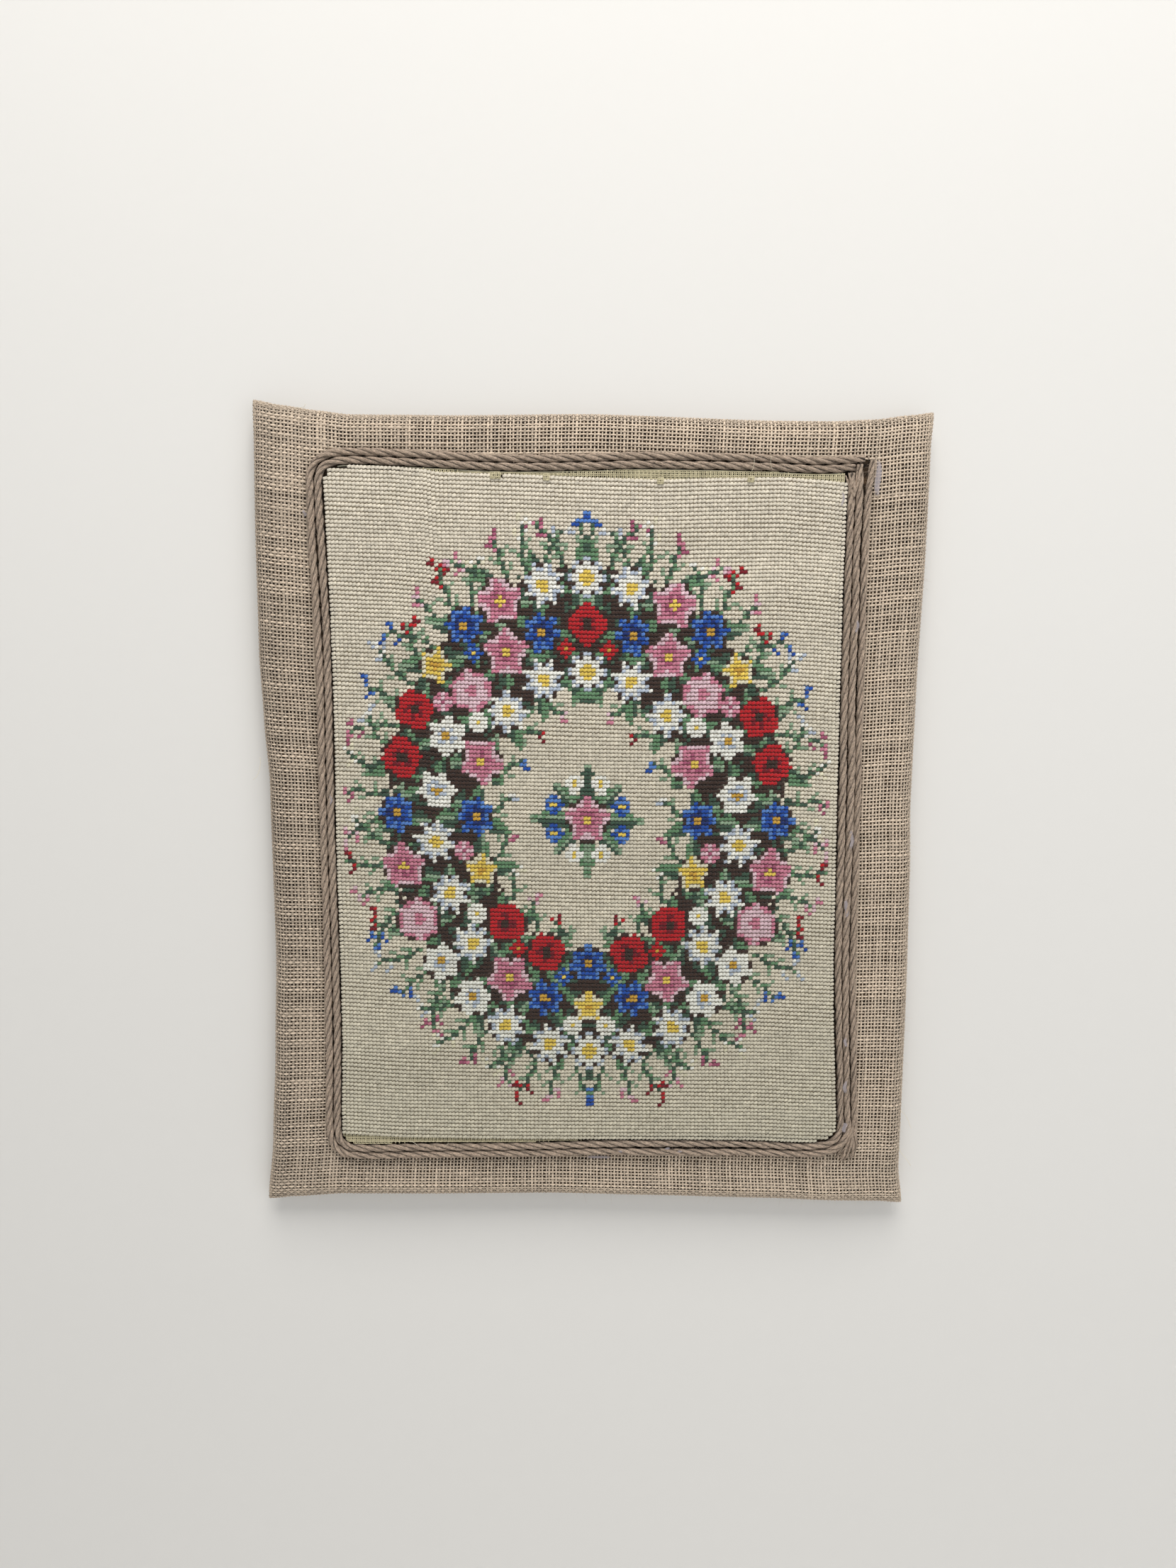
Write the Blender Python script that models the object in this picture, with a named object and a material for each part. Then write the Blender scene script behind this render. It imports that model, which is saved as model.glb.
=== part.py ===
"""Needlepoint canvas panel: a padded burlap wall panel with a stitched canvas laid on its front,
framed by two rounds of jute rope and a third length of rope down the right side.

Metres, +Z up. The front faces -Y, the back is flat at Y = 0, and the origin is the middle of the
top edge on that back. "Depth" below is the distance in front of the back, so Y = -depth.
"""

import math

import bpy
from mathutils import Vector
from mathutils.geometry import delaunay_2d_cdt

# Gap kept between touching pieces
FIT_GAP = 0.0003

# The padded panel. Its corners are drawn out, as on any cover sewn as a flat bag.
TOP_LEFT = Vector((-0.2086, 0.0081))
TOP_RIGHT = Vector((0.2083, 0.0064))
BOTTOM_LEFT = Vector((-0.2099, -0.5026))
BOTTOM_RIGHT = Vector((0.2096, -0.5050))
PANEL_WIDTH = 0.4180
PANEL_HEIGHT = 0.5110
PANEL_MIDDLE = Vector((0.0, -0.2490))
SEAM_DEPTH = 0.0070
FRONT_RISE = 0.0095
CROWN = 0.0015
FRONT_ROUND = 0.0110
BACK_ROUND = 0.0080
EAR_REACH = 0.0620
EAR_THIN = 0.60
WAVE_HEIGHT = 0.0003

# How far each side of the panel is drawn in from the straight line between its corners.
# Columns: share of the side, distance drawn in.
TOP_DRAW = (
    (0.00, 0.0000), (0.04, 0.0030), (0.09, 0.0058), (0.14, 0.0079), (0.27, 0.0074),
    (0.50, 0.0051), (0.76, 0.0070), (0.85, 0.0067), (0.91, 0.0052), (0.97, 0.0019), (1.00, 0.0000),
)
BOTTOM_DRAW = (
    (0.00, 0.0000), (0.04, 0.0021), (0.12, 0.0048), (0.24, 0.0049), (0.45, 0.0062),
    (0.59, 0.0051), (0.79, 0.0034), (0.90, 0.0017), (0.96, 0.0013), (1.00, 0.0000),
)
LEFT_DRAW = (
    (0.00, 0.0000), (0.05, 0.0005), (0.15, 0.0004), (0.30, 0.0012), (0.38, 0.0034),
    (0.46, 0.0064), (0.68, 0.0082), (0.80, 0.0066), (0.92, 0.0040), (1.00, 0.0000),
)
RIGHT_DRAW = (
    (0.00, 0.0000), (0.04, 0.0014), (0.16, 0.0021), (0.32, 0.0044), (0.48, 0.0052),
    (0.56, 0.0037), (0.72, 0.0029), (0.95, 0.0032), (1.00, 0.0000),
)
# Distances from a side at which the panel's mesh has a line, up to the middle
PANEL_LINES = (0.0, 0.0005, 0.0018, 0.0040, 0.0072, 0.0110, 0.0200, 0.0360, 0.0600, 0.0900, 0.1250, 0.1650)

# The rope. Its three strands show as ridges that wind round once in each lay.
ROPE_RADIUS = 0.00235
ROPE_STRANDS = 3
ROPE_LAY = 0.0310
ROPE_STEPS_A_LAY = 6
ROPE_GROOVE = 0.80
SIDE_RADIUS = 0.00205
# The inner round, anticlockwise from its end at the top right to its end at the top of the right
# side. The outer round lies beside it. Columns: X, Z, distance out to the middle of the outer round.
ROPE_ROUTE = (
    (0.1582, -0.0285, 0.0050), (0.1360, -0.0299, 0.0050), (0.1040, -0.0289, 0.0051), (0.0542, -0.0285, 0.0052),
    (0.0243, -0.0286, 0.0050), (-0.0056, -0.0299, 0.0050), (-0.0553, -0.0309, 0.0050), (-0.1151, -0.0290, 0.0052),
    (-0.1500, -0.0284, 0.0050), (-0.1619, -0.0306, 0.0052), (-0.1668, -0.0360, 0.0053), (-0.1677, -0.0440, 0.0050),
    (-0.1661, -0.0852, 0.0056), (-0.1644, -0.1250, 0.0055), (-0.1636, -0.1600, 0.0050), (-0.1632, -0.2346, 0.0050),
    (-0.1619, -0.3242, 0.0050), (-0.1613, -0.3939, 0.0052), (-0.1621, -0.4460, 0.0050), (-0.1600, -0.4580, 0.0053),
    (-0.1520, -0.4624, 0.0050), (-0.1151, -0.4622, 0.0050), (-0.0255, -0.4609, 0.0050), (0.0044, -0.4596, 0.0053),
    (0.0642, -0.4592, 0.0060), (0.1040, -0.4595, 0.0057), (0.1438, -0.4611, 0.0050), (0.1592, -0.4580, 0.0050),
    (0.1642, -0.4500, 0.0046), (0.1641, -0.4388, 0.0044), (0.1620, -0.4000, 0.0044), (0.1600, -0.3641, 0.0046),
    (0.1585, -0.3242, 0.0048), (0.1580, -0.2600, 0.0051), (0.1574, -0.2147, 0.0054), (0.1565, -0.1700, 0.0048),
    (0.1563, -0.1151, 0.0050), (0.1563, -0.0752, 0.0046), (0.1565, -0.0454, 0.0050), (0.1565, -0.0320, 0.0048),
)
OUTER_START = Vector((0.1640, -0.0233))
OUTER_END = Vector((0.1613, -0.0268))
# The third length, from its top end to its frayed bottom end. Columns: X, Z.
SIDE_ROUTE = (
    (0.1668, -0.0245), (0.1668, -0.0454), (0.1660, -0.0752), (0.1664, -0.1300), (0.1667, -0.1848),
    (0.1675, -0.2300), (0.1679, -0.3000), (0.1684, -0.3441), (0.1705, -0.3840), (0.1723, -0.4238),
    (0.1735, -0.4480), (0.1730, -0.4570), (0.1714, -0.4655),
)

# The ground canvas fills the rope frame. The stitched field on it leaves a bare strip along the
# right of the top edge and the left of the bottom edge.
CANVAS_INSET = 0.0008
CANVAS_THICK = 0.0010
FIELD_INSET = 0.0005
FIELD_THICK = 0.0026
FIELD_RIM = 0.0007
FIELD_ROUND = 0.0018
FIELD_RINGS = (0.0005, 0.0018)
# Columns: X, Z of the stitched edge
FIELD_TOP = (
    (-0.1700, -0.0310), (-0.1251, -0.0322), (-0.1051, -0.0334), (-0.0952, -0.0347), (-0.0553, -0.0354),
    (0.0044, -0.0369), (0.0393, -0.0374), (0.0791, -0.0360), (0.1140, -0.0351), (0.1339, -0.0362), (0.1600, -0.0384),
)
FIELD_BOTTOM = (
    (-0.1650, -0.4525), (-0.1151, -0.4550), (-0.0553, -0.4557), (-0.0155, -0.4559), (0.0100, -0.4600), (0.1700, -0.4650),
)
OUTLINE_STEP = 0.0080
CELL = 0.0240

# Colour, linear, and roughness
LOOKS = {
    "burlap": ((0.52, 0.41, 0.28, 1.0), 0.92),
    "canvas": ((0.42, 0.38, 0.24, 1.0), 0.90),
    "wool": ((0.68, 0.62, 0.48, 1.0), 0.88),
    "jute": ((0.34, 0.26, 0.19, 1.0), 0.90),
}


def clear_scene():
    for thing in list(bpy.data.objects):
        bpy.data.objects.remove(thing)


def material(name):
    colour, roughness = LOOKS[name]
    made = bpy.data.materials.get(name) or bpy.data.materials.new(name)
    made.use_nodes = True
    shader = made.node_tree.nodes["Principled BSDF"]
    shader.inputs["Base Color"].default_value = colour
    shader.inputs["Roughness"].default_value = roughness
    return made


def add_object(name, points, faces, look):
    mesh = bpy.data.meshes.new(name)
    mesh.from_pydata(points, [], faces)
    mesh.shade_smooth()
    mesh.set_sharp_from_angle(angle=math.radians(50))
    mesh.materials.append(material(look))
    made = bpy.data.objects.new(name, mesh)
    bpy.context.scene.collection.objects.link(made)


def table_value(rows, place):
    """Value between the rows of a (place, value) table."""
    for (low, before), (high, after) in zip(rows, rows[1:]):
        if place <= high:
            part = max(0.0, (place - low) / (high - low))
            ease = part * part * (3 - 2 * part)
            return before + (after - before) * (part + ease) / 2
    return rows[-1][1]


def even_points(line, step):
    """Points about one step apart along a line of points, from its first to its last."""
    total = sum((b - a).length for a, b in zip(line, line[1:]))
    step = total / round(total / step)
    made = [line[0]]
    travelled = 0.0
    for a, b in zip(line, line[1:]):
        length = (b - a).length
        while travelled + length >= len(made) * step and len(made) * step < total - step / 2:
            made.append(a.lerp(b, (len(made) * step - travelled) / length))
        travelled += length
    return made + [line[-1]]


def smooth_line(rows, step):
    """Evenly spaced points on a smooth curve through the rows. A row may carry more than X and Z."""
    fine = []
    for i in range(len(rows) - 1):
        before, after = rows[max(i - 1, 0)], rows[min(i + 2, len(rows) - 1)]
        start, end = rows[i], rows[i + 1]
        span = (end - start).length
        # The slope at each row follows its two neighbours, scaled to this span.
        leave = (end - before) * (span / ((start - before).length + span))
        arrive = (after - start) * (span / ((after - end).length + span))
        for j in range(16):
            t = j / 16
            fine.append(
                start * (1 - t) ** 2 * (1 + 2 * t) + leave * t * (1 - t) ** 2
                + end * t * t * (3 - 2 * t) - arrive * t * t * (1 - t)
            )
    return even_points(fine + [rows[-1]], step)


def beside(line, distances, closed=False):
    """The line moved to the right of its direction, seen from the front, by each distance."""
    made = []
    for i, point in enumerate(line):
        if closed:
            before, after = line[i - 1], line[(i + 1) % len(line)]
        else:
            before, after = line[max(i - 1, 0)], line[min(i + 1, len(line) - 1)]
        along = (after - before).normalized()
        made.append(point + Vector((along.y, -along.x)) * distances[i])
    return made


def shoulder(distance, radius):
    """0 at a side, rising round a quarter circle to 1 at the radius."""
    share = min(distance / radius, 1.0)
    return math.sqrt(1 - (1 - share) ** 2)


def ear(x, z):
    """1 over most of the panel, less where the empty corners of the cover go thin."""
    corners = (TOP_LEFT, TOP_RIGHT, BOTTOM_LEFT, BOTTOM_RIGHT)
    nearest = min((Vector((x, z)) - corner).length for corner in corners)
    return 1 - EAR_THIN * max(0.0, 1 - nearest / EAR_REACH) ** 1.5


def crown(x, z):
    """Swell towards the middle, with a slow unevenness."""
    across = 1 - ((x - PANEL_MIDDLE.x) / (PANEL_WIDTH / 2)) ** 2
    along = 1 - ((z - PANEL_MIDDLE.y) / (PANEL_HEIGHT / 2)) ** 2
    wave = math.sin(x * 31.0 + 0.7) * math.sin(z * 24.0 + 1.9)
    return CROWN * max(across, 0.0) * max(along, 0.0) + WAVE_HEIGHT * wave


def face_depth(x, z):
    """Depth of the panel's front, away from its rounded sides."""
    return SEAM_DEPTH + FRONT_RISE * ear(x, z) + crown(x, z)


def side_point(start, end, rows, share, inward):
    return start.lerp(end, share) + inward * table_value(rows, share)


def panel_point(u, v):
    """X and Z at a share u of the width and v of the height, blended from the four sides."""
    top = side_point(TOP_LEFT, TOP_RIGHT, TOP_DRAW, u, Vector((0, -1)))
    bottom = side_point(BOTTOM_LEFT, BOTTOM_RIGHT, BOTTOM_DRAW, u, Vector((0, 1)))
    left = side_point(TOP_LEFT, BOTTOM_LEFT, LEFT_DRAW, v, Vector((1, 0)))
    right = side_point(TOP_RIGHT, BOTTOM_RIGHT, RIGHT_DRAW, v, Vector((-1, 0)))
    corners = TOP_LEFT.lerp(TOP_RIGHT, u).lerp(BOTTOM_LEFT.lerp(BOTTOM_RIGHT, u), v)
    return top.lerp(bottom, v) + left.lerp(right, u) - corners


def side_shares(length):
    near = [distance / length for distance in PANEL_LINES]
    return near + [0.5] + [1 - share for share in reversed(near)]


def make_panel():
    """One closed pillow: front and back grids that share the seam round the sides."""
    columns = side_shares(PANEL_WIDTH)
    rows = side_shares(PANEL_HEIGHT)
    points, front, back = [], {}, {}
    for j, v in enumerate(rows):
        for i, u in enumerate(columns):
            place = panel_point(u, v)
            across = PANEL_WIDTH * min(u, 1 - u)
            along = PANEL_HEIGHT * min(v, 1 - v)
            thin = ear(place.x, place.y)
            rise = shoulder(across, FRONT_ROUND) * shoulder(along, FRONT_ROUND)
            depth = SEAM_DEPTH + rise * (FRONT_RISE * thin + crown(place.x, place.y))
            front[i, j] = back[i, j] = len(points)
            points.append((place.x, -depth, place.y))
            if across > 0 and along > 0:
                # The back is flat, but for its rounded sides and thin corners.
                round_off = shoulder(across, BACK_ROUND) * shoulder(along, BACK_ROUND)
                full = min(1.0, max(across, along) / EAR_REACH)
                back[i, j] = len(points)
                points.append((place.x, -SEAM_DEPTH * (1 - round_off * (thin + (1 - thin) * full)), place.y))
    faces = []
    for j in range(len(rows) - 1):
        for i in range(len(columns) - 1):
            square = ((i, j), (i, j + 1), (i + 1, j + 1), (i + 1, j))
            faces.append([front[key] for key in square])
            faces.append([back[key] for key in reversed(square)])
    add_object("burlap_panel", points, faces, "burlap")


def is_inside(point, ring):
    crossings = 0
    for a, b in zip(ring, ring[1:] + ring[:1]):
        if (a.y > point.y) != (b.y > point.y):
            crossings += point.x < a.x + (point.y - a.y) / (b.y - a.y) * (b.x - a.x)
    return crossings % 2 == 1


def make_sheet(name, rings, heights, gap_below, look):
    """A sheet on the panel's front, from rings that go clockwise and inwards, each at its own height."""
    flat = [point for ring in rings for point in ring]
    tops = [height for ring, height in zip(rings, heights) for _ in ring]
    middle = beside(rings[-1], [CELL / 2] * len(rings[-1]), closed=True)
    columns = int(max(point.x for point in flat) / CELL)
    rows = int(-min(point.y for point in flat) / CELL)
    for i in range(-columns, columns + 1):
        for j in range(rows + 1):
            point = Vector((i * CELL, -j * CELL))
            if is_inside(point, middle):
                flat.append(point)
                tops.append(heights[-1])
    count = len(rings[0])
    border = [(i, (i + 1) % count) for i in range(count)]
    places, _, cells, sources, _, _ = delaunay_2d_cdt(flat, border, [], 1, 1e-7)
    under = [face_depth(place.x, place.y) + gap_below for place in places]
    points = [(p.x, -(low + tops[source[0]]), p.y) for p, low, source in zip(places, under, sources)]
    points += [(p.x, -low, p.y) for p, low in zip(places, under)]
    at = {source[0]: index for index, source in enumerate(sources)}
    shift = len(places)
    faces = [[at[i], at[j], at[j] + shift, at[i] + shift] for i, j in border]
    for cell in cells:
        a, b, c = (places[k] for k in cell)
        front = list(cell) if (b - a).cross(c - a) > 0 else list(reversed(cell))
        faces.append(front)
        faces.append([k + shift for k in reversed(front)])
    add_object(name, points, faces, look)


def make_sheets(inner):
    """The ground canvas inside the rope frame, and the stitched field on it."""
    # The first two points of the rope lie past the corner that its last point closes.
    round_rope = list(reversed(inner[2:]))
    edge = beside(round_rope, [ROPE_RADIUS + CANVAS_INSET] * len(round_rope))
    edge = even_points(edge + [edge[0]], OUTLINE_STEP)[:-1]
    make_sheet("ground_canvas", [edge], [CANVAS_THICK], FIT_GAP, "canvas")
    edge = beside(edge, [FIELD_INSET] * len(edge), closed=True)
    for point in edge:
        point.y = max(min(point.y, table_value(FIELD_TOP, point.x)), table_value(FIELD_BOTTOM, point.x))
    edge = even_points(edge + [edge[0]], OUTLINE_STEP)[:-1]
    rings = [edge] + [beside(edge, [inset] * len(edge), closed=True) for inset in FIELD_RINGS]
    heights = [FIELD_RIM]
    for inset in FIELD_RINGS:
        heights.append(FIELD_RIM + (FIELD_THICK - FIELD_RIM) * shoulder(inset, FIELD_ROUND))
    make_sheet("stitched_field", rings, heights, FIT_GAP + CANVAS_THICK + FIT_GAP, "wool")


def make_rope(name, line, radii):
    """A laid rope on the panel: three strands stand out as ridges that wind along its line."""
    sides = 2 * ROPE_STRANDS
    front = Vector((0, -1, 0))
    points = []
    for i, (place, radius) in enumerate(zip(line, radii)):
        along = (line[min(i + 1, len(line) - 1)] - line[max(i - 1, 0)]).normalized()
        right = Vector((along.y, 0, -along.x))
        centre = Vector((place.x, -(face_depth(place.x, place.y) + FIT_GAP + radius), place.y))
        for k in range(sides):
            angle = 2 * math.pi * (i / ROPE_STEPS_A_LAY + k / sides)
            reach = radius * (ROPE_GROOVE if k % 2 else 1)
            points.append(centre + (right * math.cos(angle) + front * math.sin(angle)) * reach)
    faces = [list(range(sides)), [len(points) - 1 - k for k in range(sides)]]
    for i in range(len(line) - 1):
        for k in range(sides):
            a, b = i * sides + k, i * sides + (k + 1) % sides
            faces.append([b, a, a + sides, b + sides])
    add_object(name, points, faces, "jute")


def make_ropes():
    step = ROPE_LAY / ROPE_STEPS_A_LAY
    rows = smooth_line([Vector(row) for row in ROPE_ROUTE], step)
    inner = [row.xy for row in rows]
    apart = [row.z for row in rows]
    radii = [min(ROPE_RADIUS, (distance - FIT_GAP) / 2) for distance in apart]
    make_rope("rope_inner", inner, radii)
    # The route runs anticlockwise, so its right side is outside.
    outer = [OUTER_START] + beside(inner, apart)[2:] + [OUTER_END]
    thick = radii[:1] + radii[2:] + radii[-1:]
    rows = smooth_line([Vector((point.x, point.y, radius)) for point, radius in zip(outer, thick)], step)
    make_rope("rope_outer", [row.xy for row in rows], [row.z for row in rows])
    side = smooth_line([Vector(row) for row in SIDE_ROUTE], step)
    make_rope("rope_side", side, [SIDE_RADIUS] * len(side))
    return inner


clear_scene()
make_panel()
make_sheets(make_ropes())
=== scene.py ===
# Needlepoint canvas panel: a padded burlap panel, a stitched canvas and its jute rope frame.
# Tables and sizes are in millimetres, +Z up. The front faces -Y, and depth is the distance in
# front of the flat back. addPiece turns millimetres into metres.

import math

import bpy
import numpy as np
from mathutils import Matrix, Vector


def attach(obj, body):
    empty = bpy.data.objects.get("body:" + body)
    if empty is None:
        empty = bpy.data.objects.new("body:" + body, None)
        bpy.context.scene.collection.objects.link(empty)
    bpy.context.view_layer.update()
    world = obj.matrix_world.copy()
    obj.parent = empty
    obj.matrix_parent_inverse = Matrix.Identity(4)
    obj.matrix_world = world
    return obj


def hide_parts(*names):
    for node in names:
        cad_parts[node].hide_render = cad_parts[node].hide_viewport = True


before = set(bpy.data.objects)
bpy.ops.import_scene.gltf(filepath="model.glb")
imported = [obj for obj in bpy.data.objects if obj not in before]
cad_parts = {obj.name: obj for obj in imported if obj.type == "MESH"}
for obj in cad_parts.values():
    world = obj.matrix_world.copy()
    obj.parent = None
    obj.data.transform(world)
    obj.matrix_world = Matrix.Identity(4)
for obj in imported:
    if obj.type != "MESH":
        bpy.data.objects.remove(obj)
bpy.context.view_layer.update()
mm = 0.001


# Helpers for tables, lines and meshes

def tableAt(rows, place):  # smoothly eased value between the rows of a two-column table
    keys, values = np.array(rows, float).T
    k = np.clip(np.searchsorted(keys, place, side="right") - 1, 0, len(keys) - 2)
    part = np.clip((place - keys[k]) / (keys[k + 1] - keys[k]), 0, 1)
    ease = part * part * (3 - 2 * part)
    return values[k] + (values[k + 1] - values[k]) * (part + ease) / 2


def unit(vectors):
    return vectors / np.maximum(np.linalg.norm(vectors, axis=-1, keepdims=True), 1e-9)


def smoothLine(rows, step):  # evenly spaced points on a smooth curve through the rows
    rows = np.array(rows, float)
    fine = []
    for i in range(len(rows) - 1):
        start, end = rows[i], rows[i + 1]
        before, after = rows[max(i - 1, 0)], rows[min(i + 2, len(rows) - 1)]
        span = np.linalg.norm(end - start)
        leave = (end - before) * span / (np.linalg.norm(start - before) + span)
        arrive = (after - start) * span / (np.linalg.norm(after - end) + span)
        t = np.arange(16)[:, None] / 16
        fine.append(
            start * (1 - t) ** 2 * (1 + 2 * t) + leave * t * (1 - t) ** 2
            + end * t * t * (3 - 2 * t) - arrive * t * t * (1 - t)
        )
    fine = np.concatenate(fine + [rows[-1:]])
    along = np.concatenate([[0], np.cumsum(np.linalg.norm(np.diff(fine[:, :2], axis=0), axis=1))])
    even = np.linspace(0, along[-1], max(2, round(along[-1] / step)) + 1)
    return np.stack([np.interp(even, along, column) for column in fine.T], axis=1)


def beside(line, distances):  # the line moved to the right of its direction, seen from the front
    along = unit(np.gradient(line, axis=0))
    return line + np.stack([along[:, 1], -along[:, 0]], axis=1) * distances[:, None]


def roundProfile(corners):
    return np.arange(corners) * 360 / corners


def facingFront(points):  # the direction out of the panel's front, once for each point
    return np.broadcast_to([0.0, -1.0, 0.0], points.shape)


def tubes(centres, front, width, height, profile, tips=0.0, start=0.0, tone=0.5, colour=None):
    # Closed tubes that share a ring count. centres and front run over tube, ring and axis, width
    # and height over tube and ring. The profile lists the angles of a ring's corners in degrees,
    # from the side round by the front. Each end closes on a tip, which may stand beyond its ring.
    count, rings = centres.shape[:2]
    corners = len(profile)
    along = unit(np.gradient(centres, axis=1))
    side = unit(np.cross(front, along))
    front = np.cross(along, side)
    turn = np.radians(profile)
    across = width[..., None] * np.cos(turn)
    outward = height[..., None] * np.sin(turn)
    ring = centres[:, :, None] + side[:, :, None] * across[..., None] + front[:, :, None] * outward[..., None]
    steps = np.linalg.norm(np.diff(centres, axis=1), axis=2)
    travel = np.concatenate([np.zeros((count, 1)), np.cumsum(steps, axis=1)], axis=1)
    travel = travel + np.broadcast_to(start, (count,))[:, None]
    place = np.stack([across, outward, np.broadcast_to(travel[..., None], across.shape)], axis=-1)
    tipShift = np.broadcast_to(tips, (count,))[:, None]
    firstTip = centres[:, 0] - along[:, 0] * tipShift
    lastTip = centres[:, -1] + along[:, -1] * tipShift
    points = np.concatenate([firstTip[:, None], ring.reshape(count, -1, 3), lastTip[:, None]], axis=1)
    ends = [np.stack([0 * travel[:, 0], 0 * travel[:, 0], travel[:, k]], axis=1)[:, None] for k in (0, -1)]
    places = np.concatenate([ends[0], place.reshape(count, -1, 3), ends[1]], axis=1)
    k = np.arange(corners)
    after = (k + 1) % corners
    body = (1 + corners * np.arange(rings - 1))[:, None]
    a, b = (body + k).ravel(), (body + after).ravel()
    last = 1 + corners * (rings - 1)
    faces = np.concatenate([
        np.stack([0 * k, 1 + after, 1 + k], axis=1),
        np.stack([a, b, b + corners], axis=1),
        np.stack([a, b + corners, a + corners], axis=1),
        np.stack([last + corners + 0 * k, last + k, last + after], axis=1),
    ])
    size = points.shape[1]
    faces = faces[None] + size * np.arange(count)[:, None, None]
    part = {
        "points": points.reshape(-1, 3),
        "faces": faces.reshape(-1, 3),
        "place": places.reshape(-1, 3),
        "tone": np.repeat(np.broadcast_to(tone, (count,)), size),
    }
    if colour is not None:
        part["colour"] = np.repeat(np.broadcast_to(colour, (count, 3)), size, axis=0)
    return part


def joined(parts):
    shift = np.cumsum([0] + [len(part["points"]) for part in parts])
    made = {key: np.concatenate([part[key] for part in parts]) for key in parts[0] if key != "faces"}
    made["faces"] = np.concatenate([part["faces"] + start for part, start in zip(parts, shift)])
    return made


def squares(index):  # the four corners of each square in a grid of point numbers
    return np.stack([index[:-1, :-1], index[1:, :-1], index[1:, 1:], index[:-1, 1:]], axis=-1)


def trimmed(part):  # the part without the points that no face uses
    used = np.unique(part["faces"])
    renumber = np.zeros(len(part["points"]), int)
    renumber[used] = np.arange(len(used))
    made = {key: values[used] for key, values in part.items() if key != "faces"}
    made["faces"] = renumber[part["faces"]]
    return made


def addPiece(name, part, material, replaces=()):
    mesh = bpy.data.meshes.new(name)
    points, faces = part["points"] * mm, part["faces"]
    mesh.vertices.add(len(points))
    mesh.vertices.foreach_set("co", points.astype(np.float32).ravel())
    mesh.loops.add(faces.size)
    mesh.loops.foreach_set("vertex_index", faces.astype(np.int32).ravel())
    mesh.polygons.add(len(faces))
    mesh.polygons.foreach_set("loop_start", np.arange(0, faces.size, faces.shape[1], dtype=np.int32))
    for key, kind, field in (
        ("place", "FLOAT_VECTOR", "vector"), ("tone", "FLOAT", "value"), ("colour", "FLOAT_COLOR", "color"),
    ):
        if key in part:
            values = part[key].astype(np.float32)
            if key == "colour":
                values = np.concatenate([values, np.ones((len(values), 1), np.float32)], axis=1)
            mesh.attributes.new(key, kind, "POINT").data.foreach_set(field, values.ravel())
    mesh.update(calc_edges=True)
    mesh.shade_smooth()
    mesh.materials.append(material)
    piece = bpy.data.objects.new(name, mesh)
    bpy.context.scene.collection.objects.link(piece)
    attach(piece, "root")
    if replaces:
        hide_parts(*replaces)
    print(f"{name}: {len(faces)} faces")
    return piece


# Shader groups that the cloth, yarn and rope materials share

def newGroup(name, inputs, outputs):
    group = bpy.data.node_groups.new(name, "ShaderNodeTree")
    for title, kind, value in inputs:
        socket = group.interface.new_socket(title, in_out="INPUT", socket_type=kind)
        if value is not None:
            socket.default_value = value
    for title, kind in outputs:
        group.interface.new_socket(title, in_out="OUTPUT", socket_type=kind)
    return group, group.nodes.new("NodeGroupInput"), group.nodes.new("NodeGroupOutput")


def addMath(tree, operation, *values):
    node = tree.nodes.new("ShaderNodeMath")
    node.operation = operation
    for socket, value in zip(node.inputs, values):
        if isinstance(value, (int, float)):
            socket.default_value = value
        else:
            tree.links.new(value, socket)
    return node.outputs[0]


def addSwing(tree, value, amount):  # a value around a half, as a swing up and down by an amount
    return addMath(tree, "MULTIPLY", addMath(tree, "SUBTRACT", value, 0.5), amount)


def addNoise(tree, vector, scale, detail=2.0, roughness=0.5):
    node = tree.nodes.new("ShaderNodeTexNoise")
    tree.links.new(vector, node.inputs["Vector"])
    node.inputs["Detail"].default_value = detail
    node.inputs["Roughness"].default_value = roughness
    if isinstance(scale, (int, float)):
        node.inputs["Scale"].default_value = scale
    else:
        tree.links.new(scale, node.inputs["Scale"])
    return node.outputs[0]


def makeYarnTwist():
    # Twisted plies and fine fibres on a yarn, from its place attribute: across, outward, along
    group, given, result = newGroup(
        "yarnTwist",
        [
            ("Place", "NodeSocketVector", None), ("Turns", "NodeSocketFloat", 0.2),
            ("Radius", "NodeSocketFloat", 0.8), ("Fibre Scale", "NodeSocketFloat", 3.0),
            ("Ply Depth", "NodeSocketFloat", 0.5),
        ],
        [("Height", "NodeSocketFloat"), ("Fibre", "NodeSocketFloat")],
    )
    parts = group.nodes.new("ShaderNodeSeparateXYZ")
    group.links.new(given.outputs["Place"], parts.inputs[0])
    turns = addMath(group, "MULTIPLY", parts.outputs[2], given.outputs["Turns"])
    angle = addMath(group, "MULTIPLY", turns, math.tau)
    turned = group.nodes.new("ShaderNodeVectorRotate")
    turned.rotation_type = "Z_AXIS"
    group.links.new(given.outputs["Place"], turned.inputs["Vector"])
    group.links.new(angle, turned.inputs["Angle"])
    squeezed = group.nodes.new("ShaderNodeVectorMath")
    squeezed.operation = "MULTIPLY"
    squeezed.inputs[1].default_value = (1.0, 1.0, 0.14)  # fibres run on along the yarn
    group.links.new(turned.outputs[0], squeezed.inputs[0])
    fibre = addNoise(group, squeezed.outputs[0], given.outputs["Fibre Scale"], 3.0, 0.6)
    untwisted = group.nodes.new("ShaderNodeSeparateXYZ")
    group.links.new(turned.outputs[0], untwisted.inputs[0])
    ply = addMath(group, "DIVIDE", addMath(group, "ABSOLUTE", untwisted.outputs[0]), given.outputs["Radius"])
    height = addMath(group, "ADD", addMath(group, "MULTIPLY", ply, given.outputs["Ply Depth"]), fibre)
    group.links.new(height, result.inputs["Height"])
    group.links.new(fibre, result.inputs["Fibre"])
    return group


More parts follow.
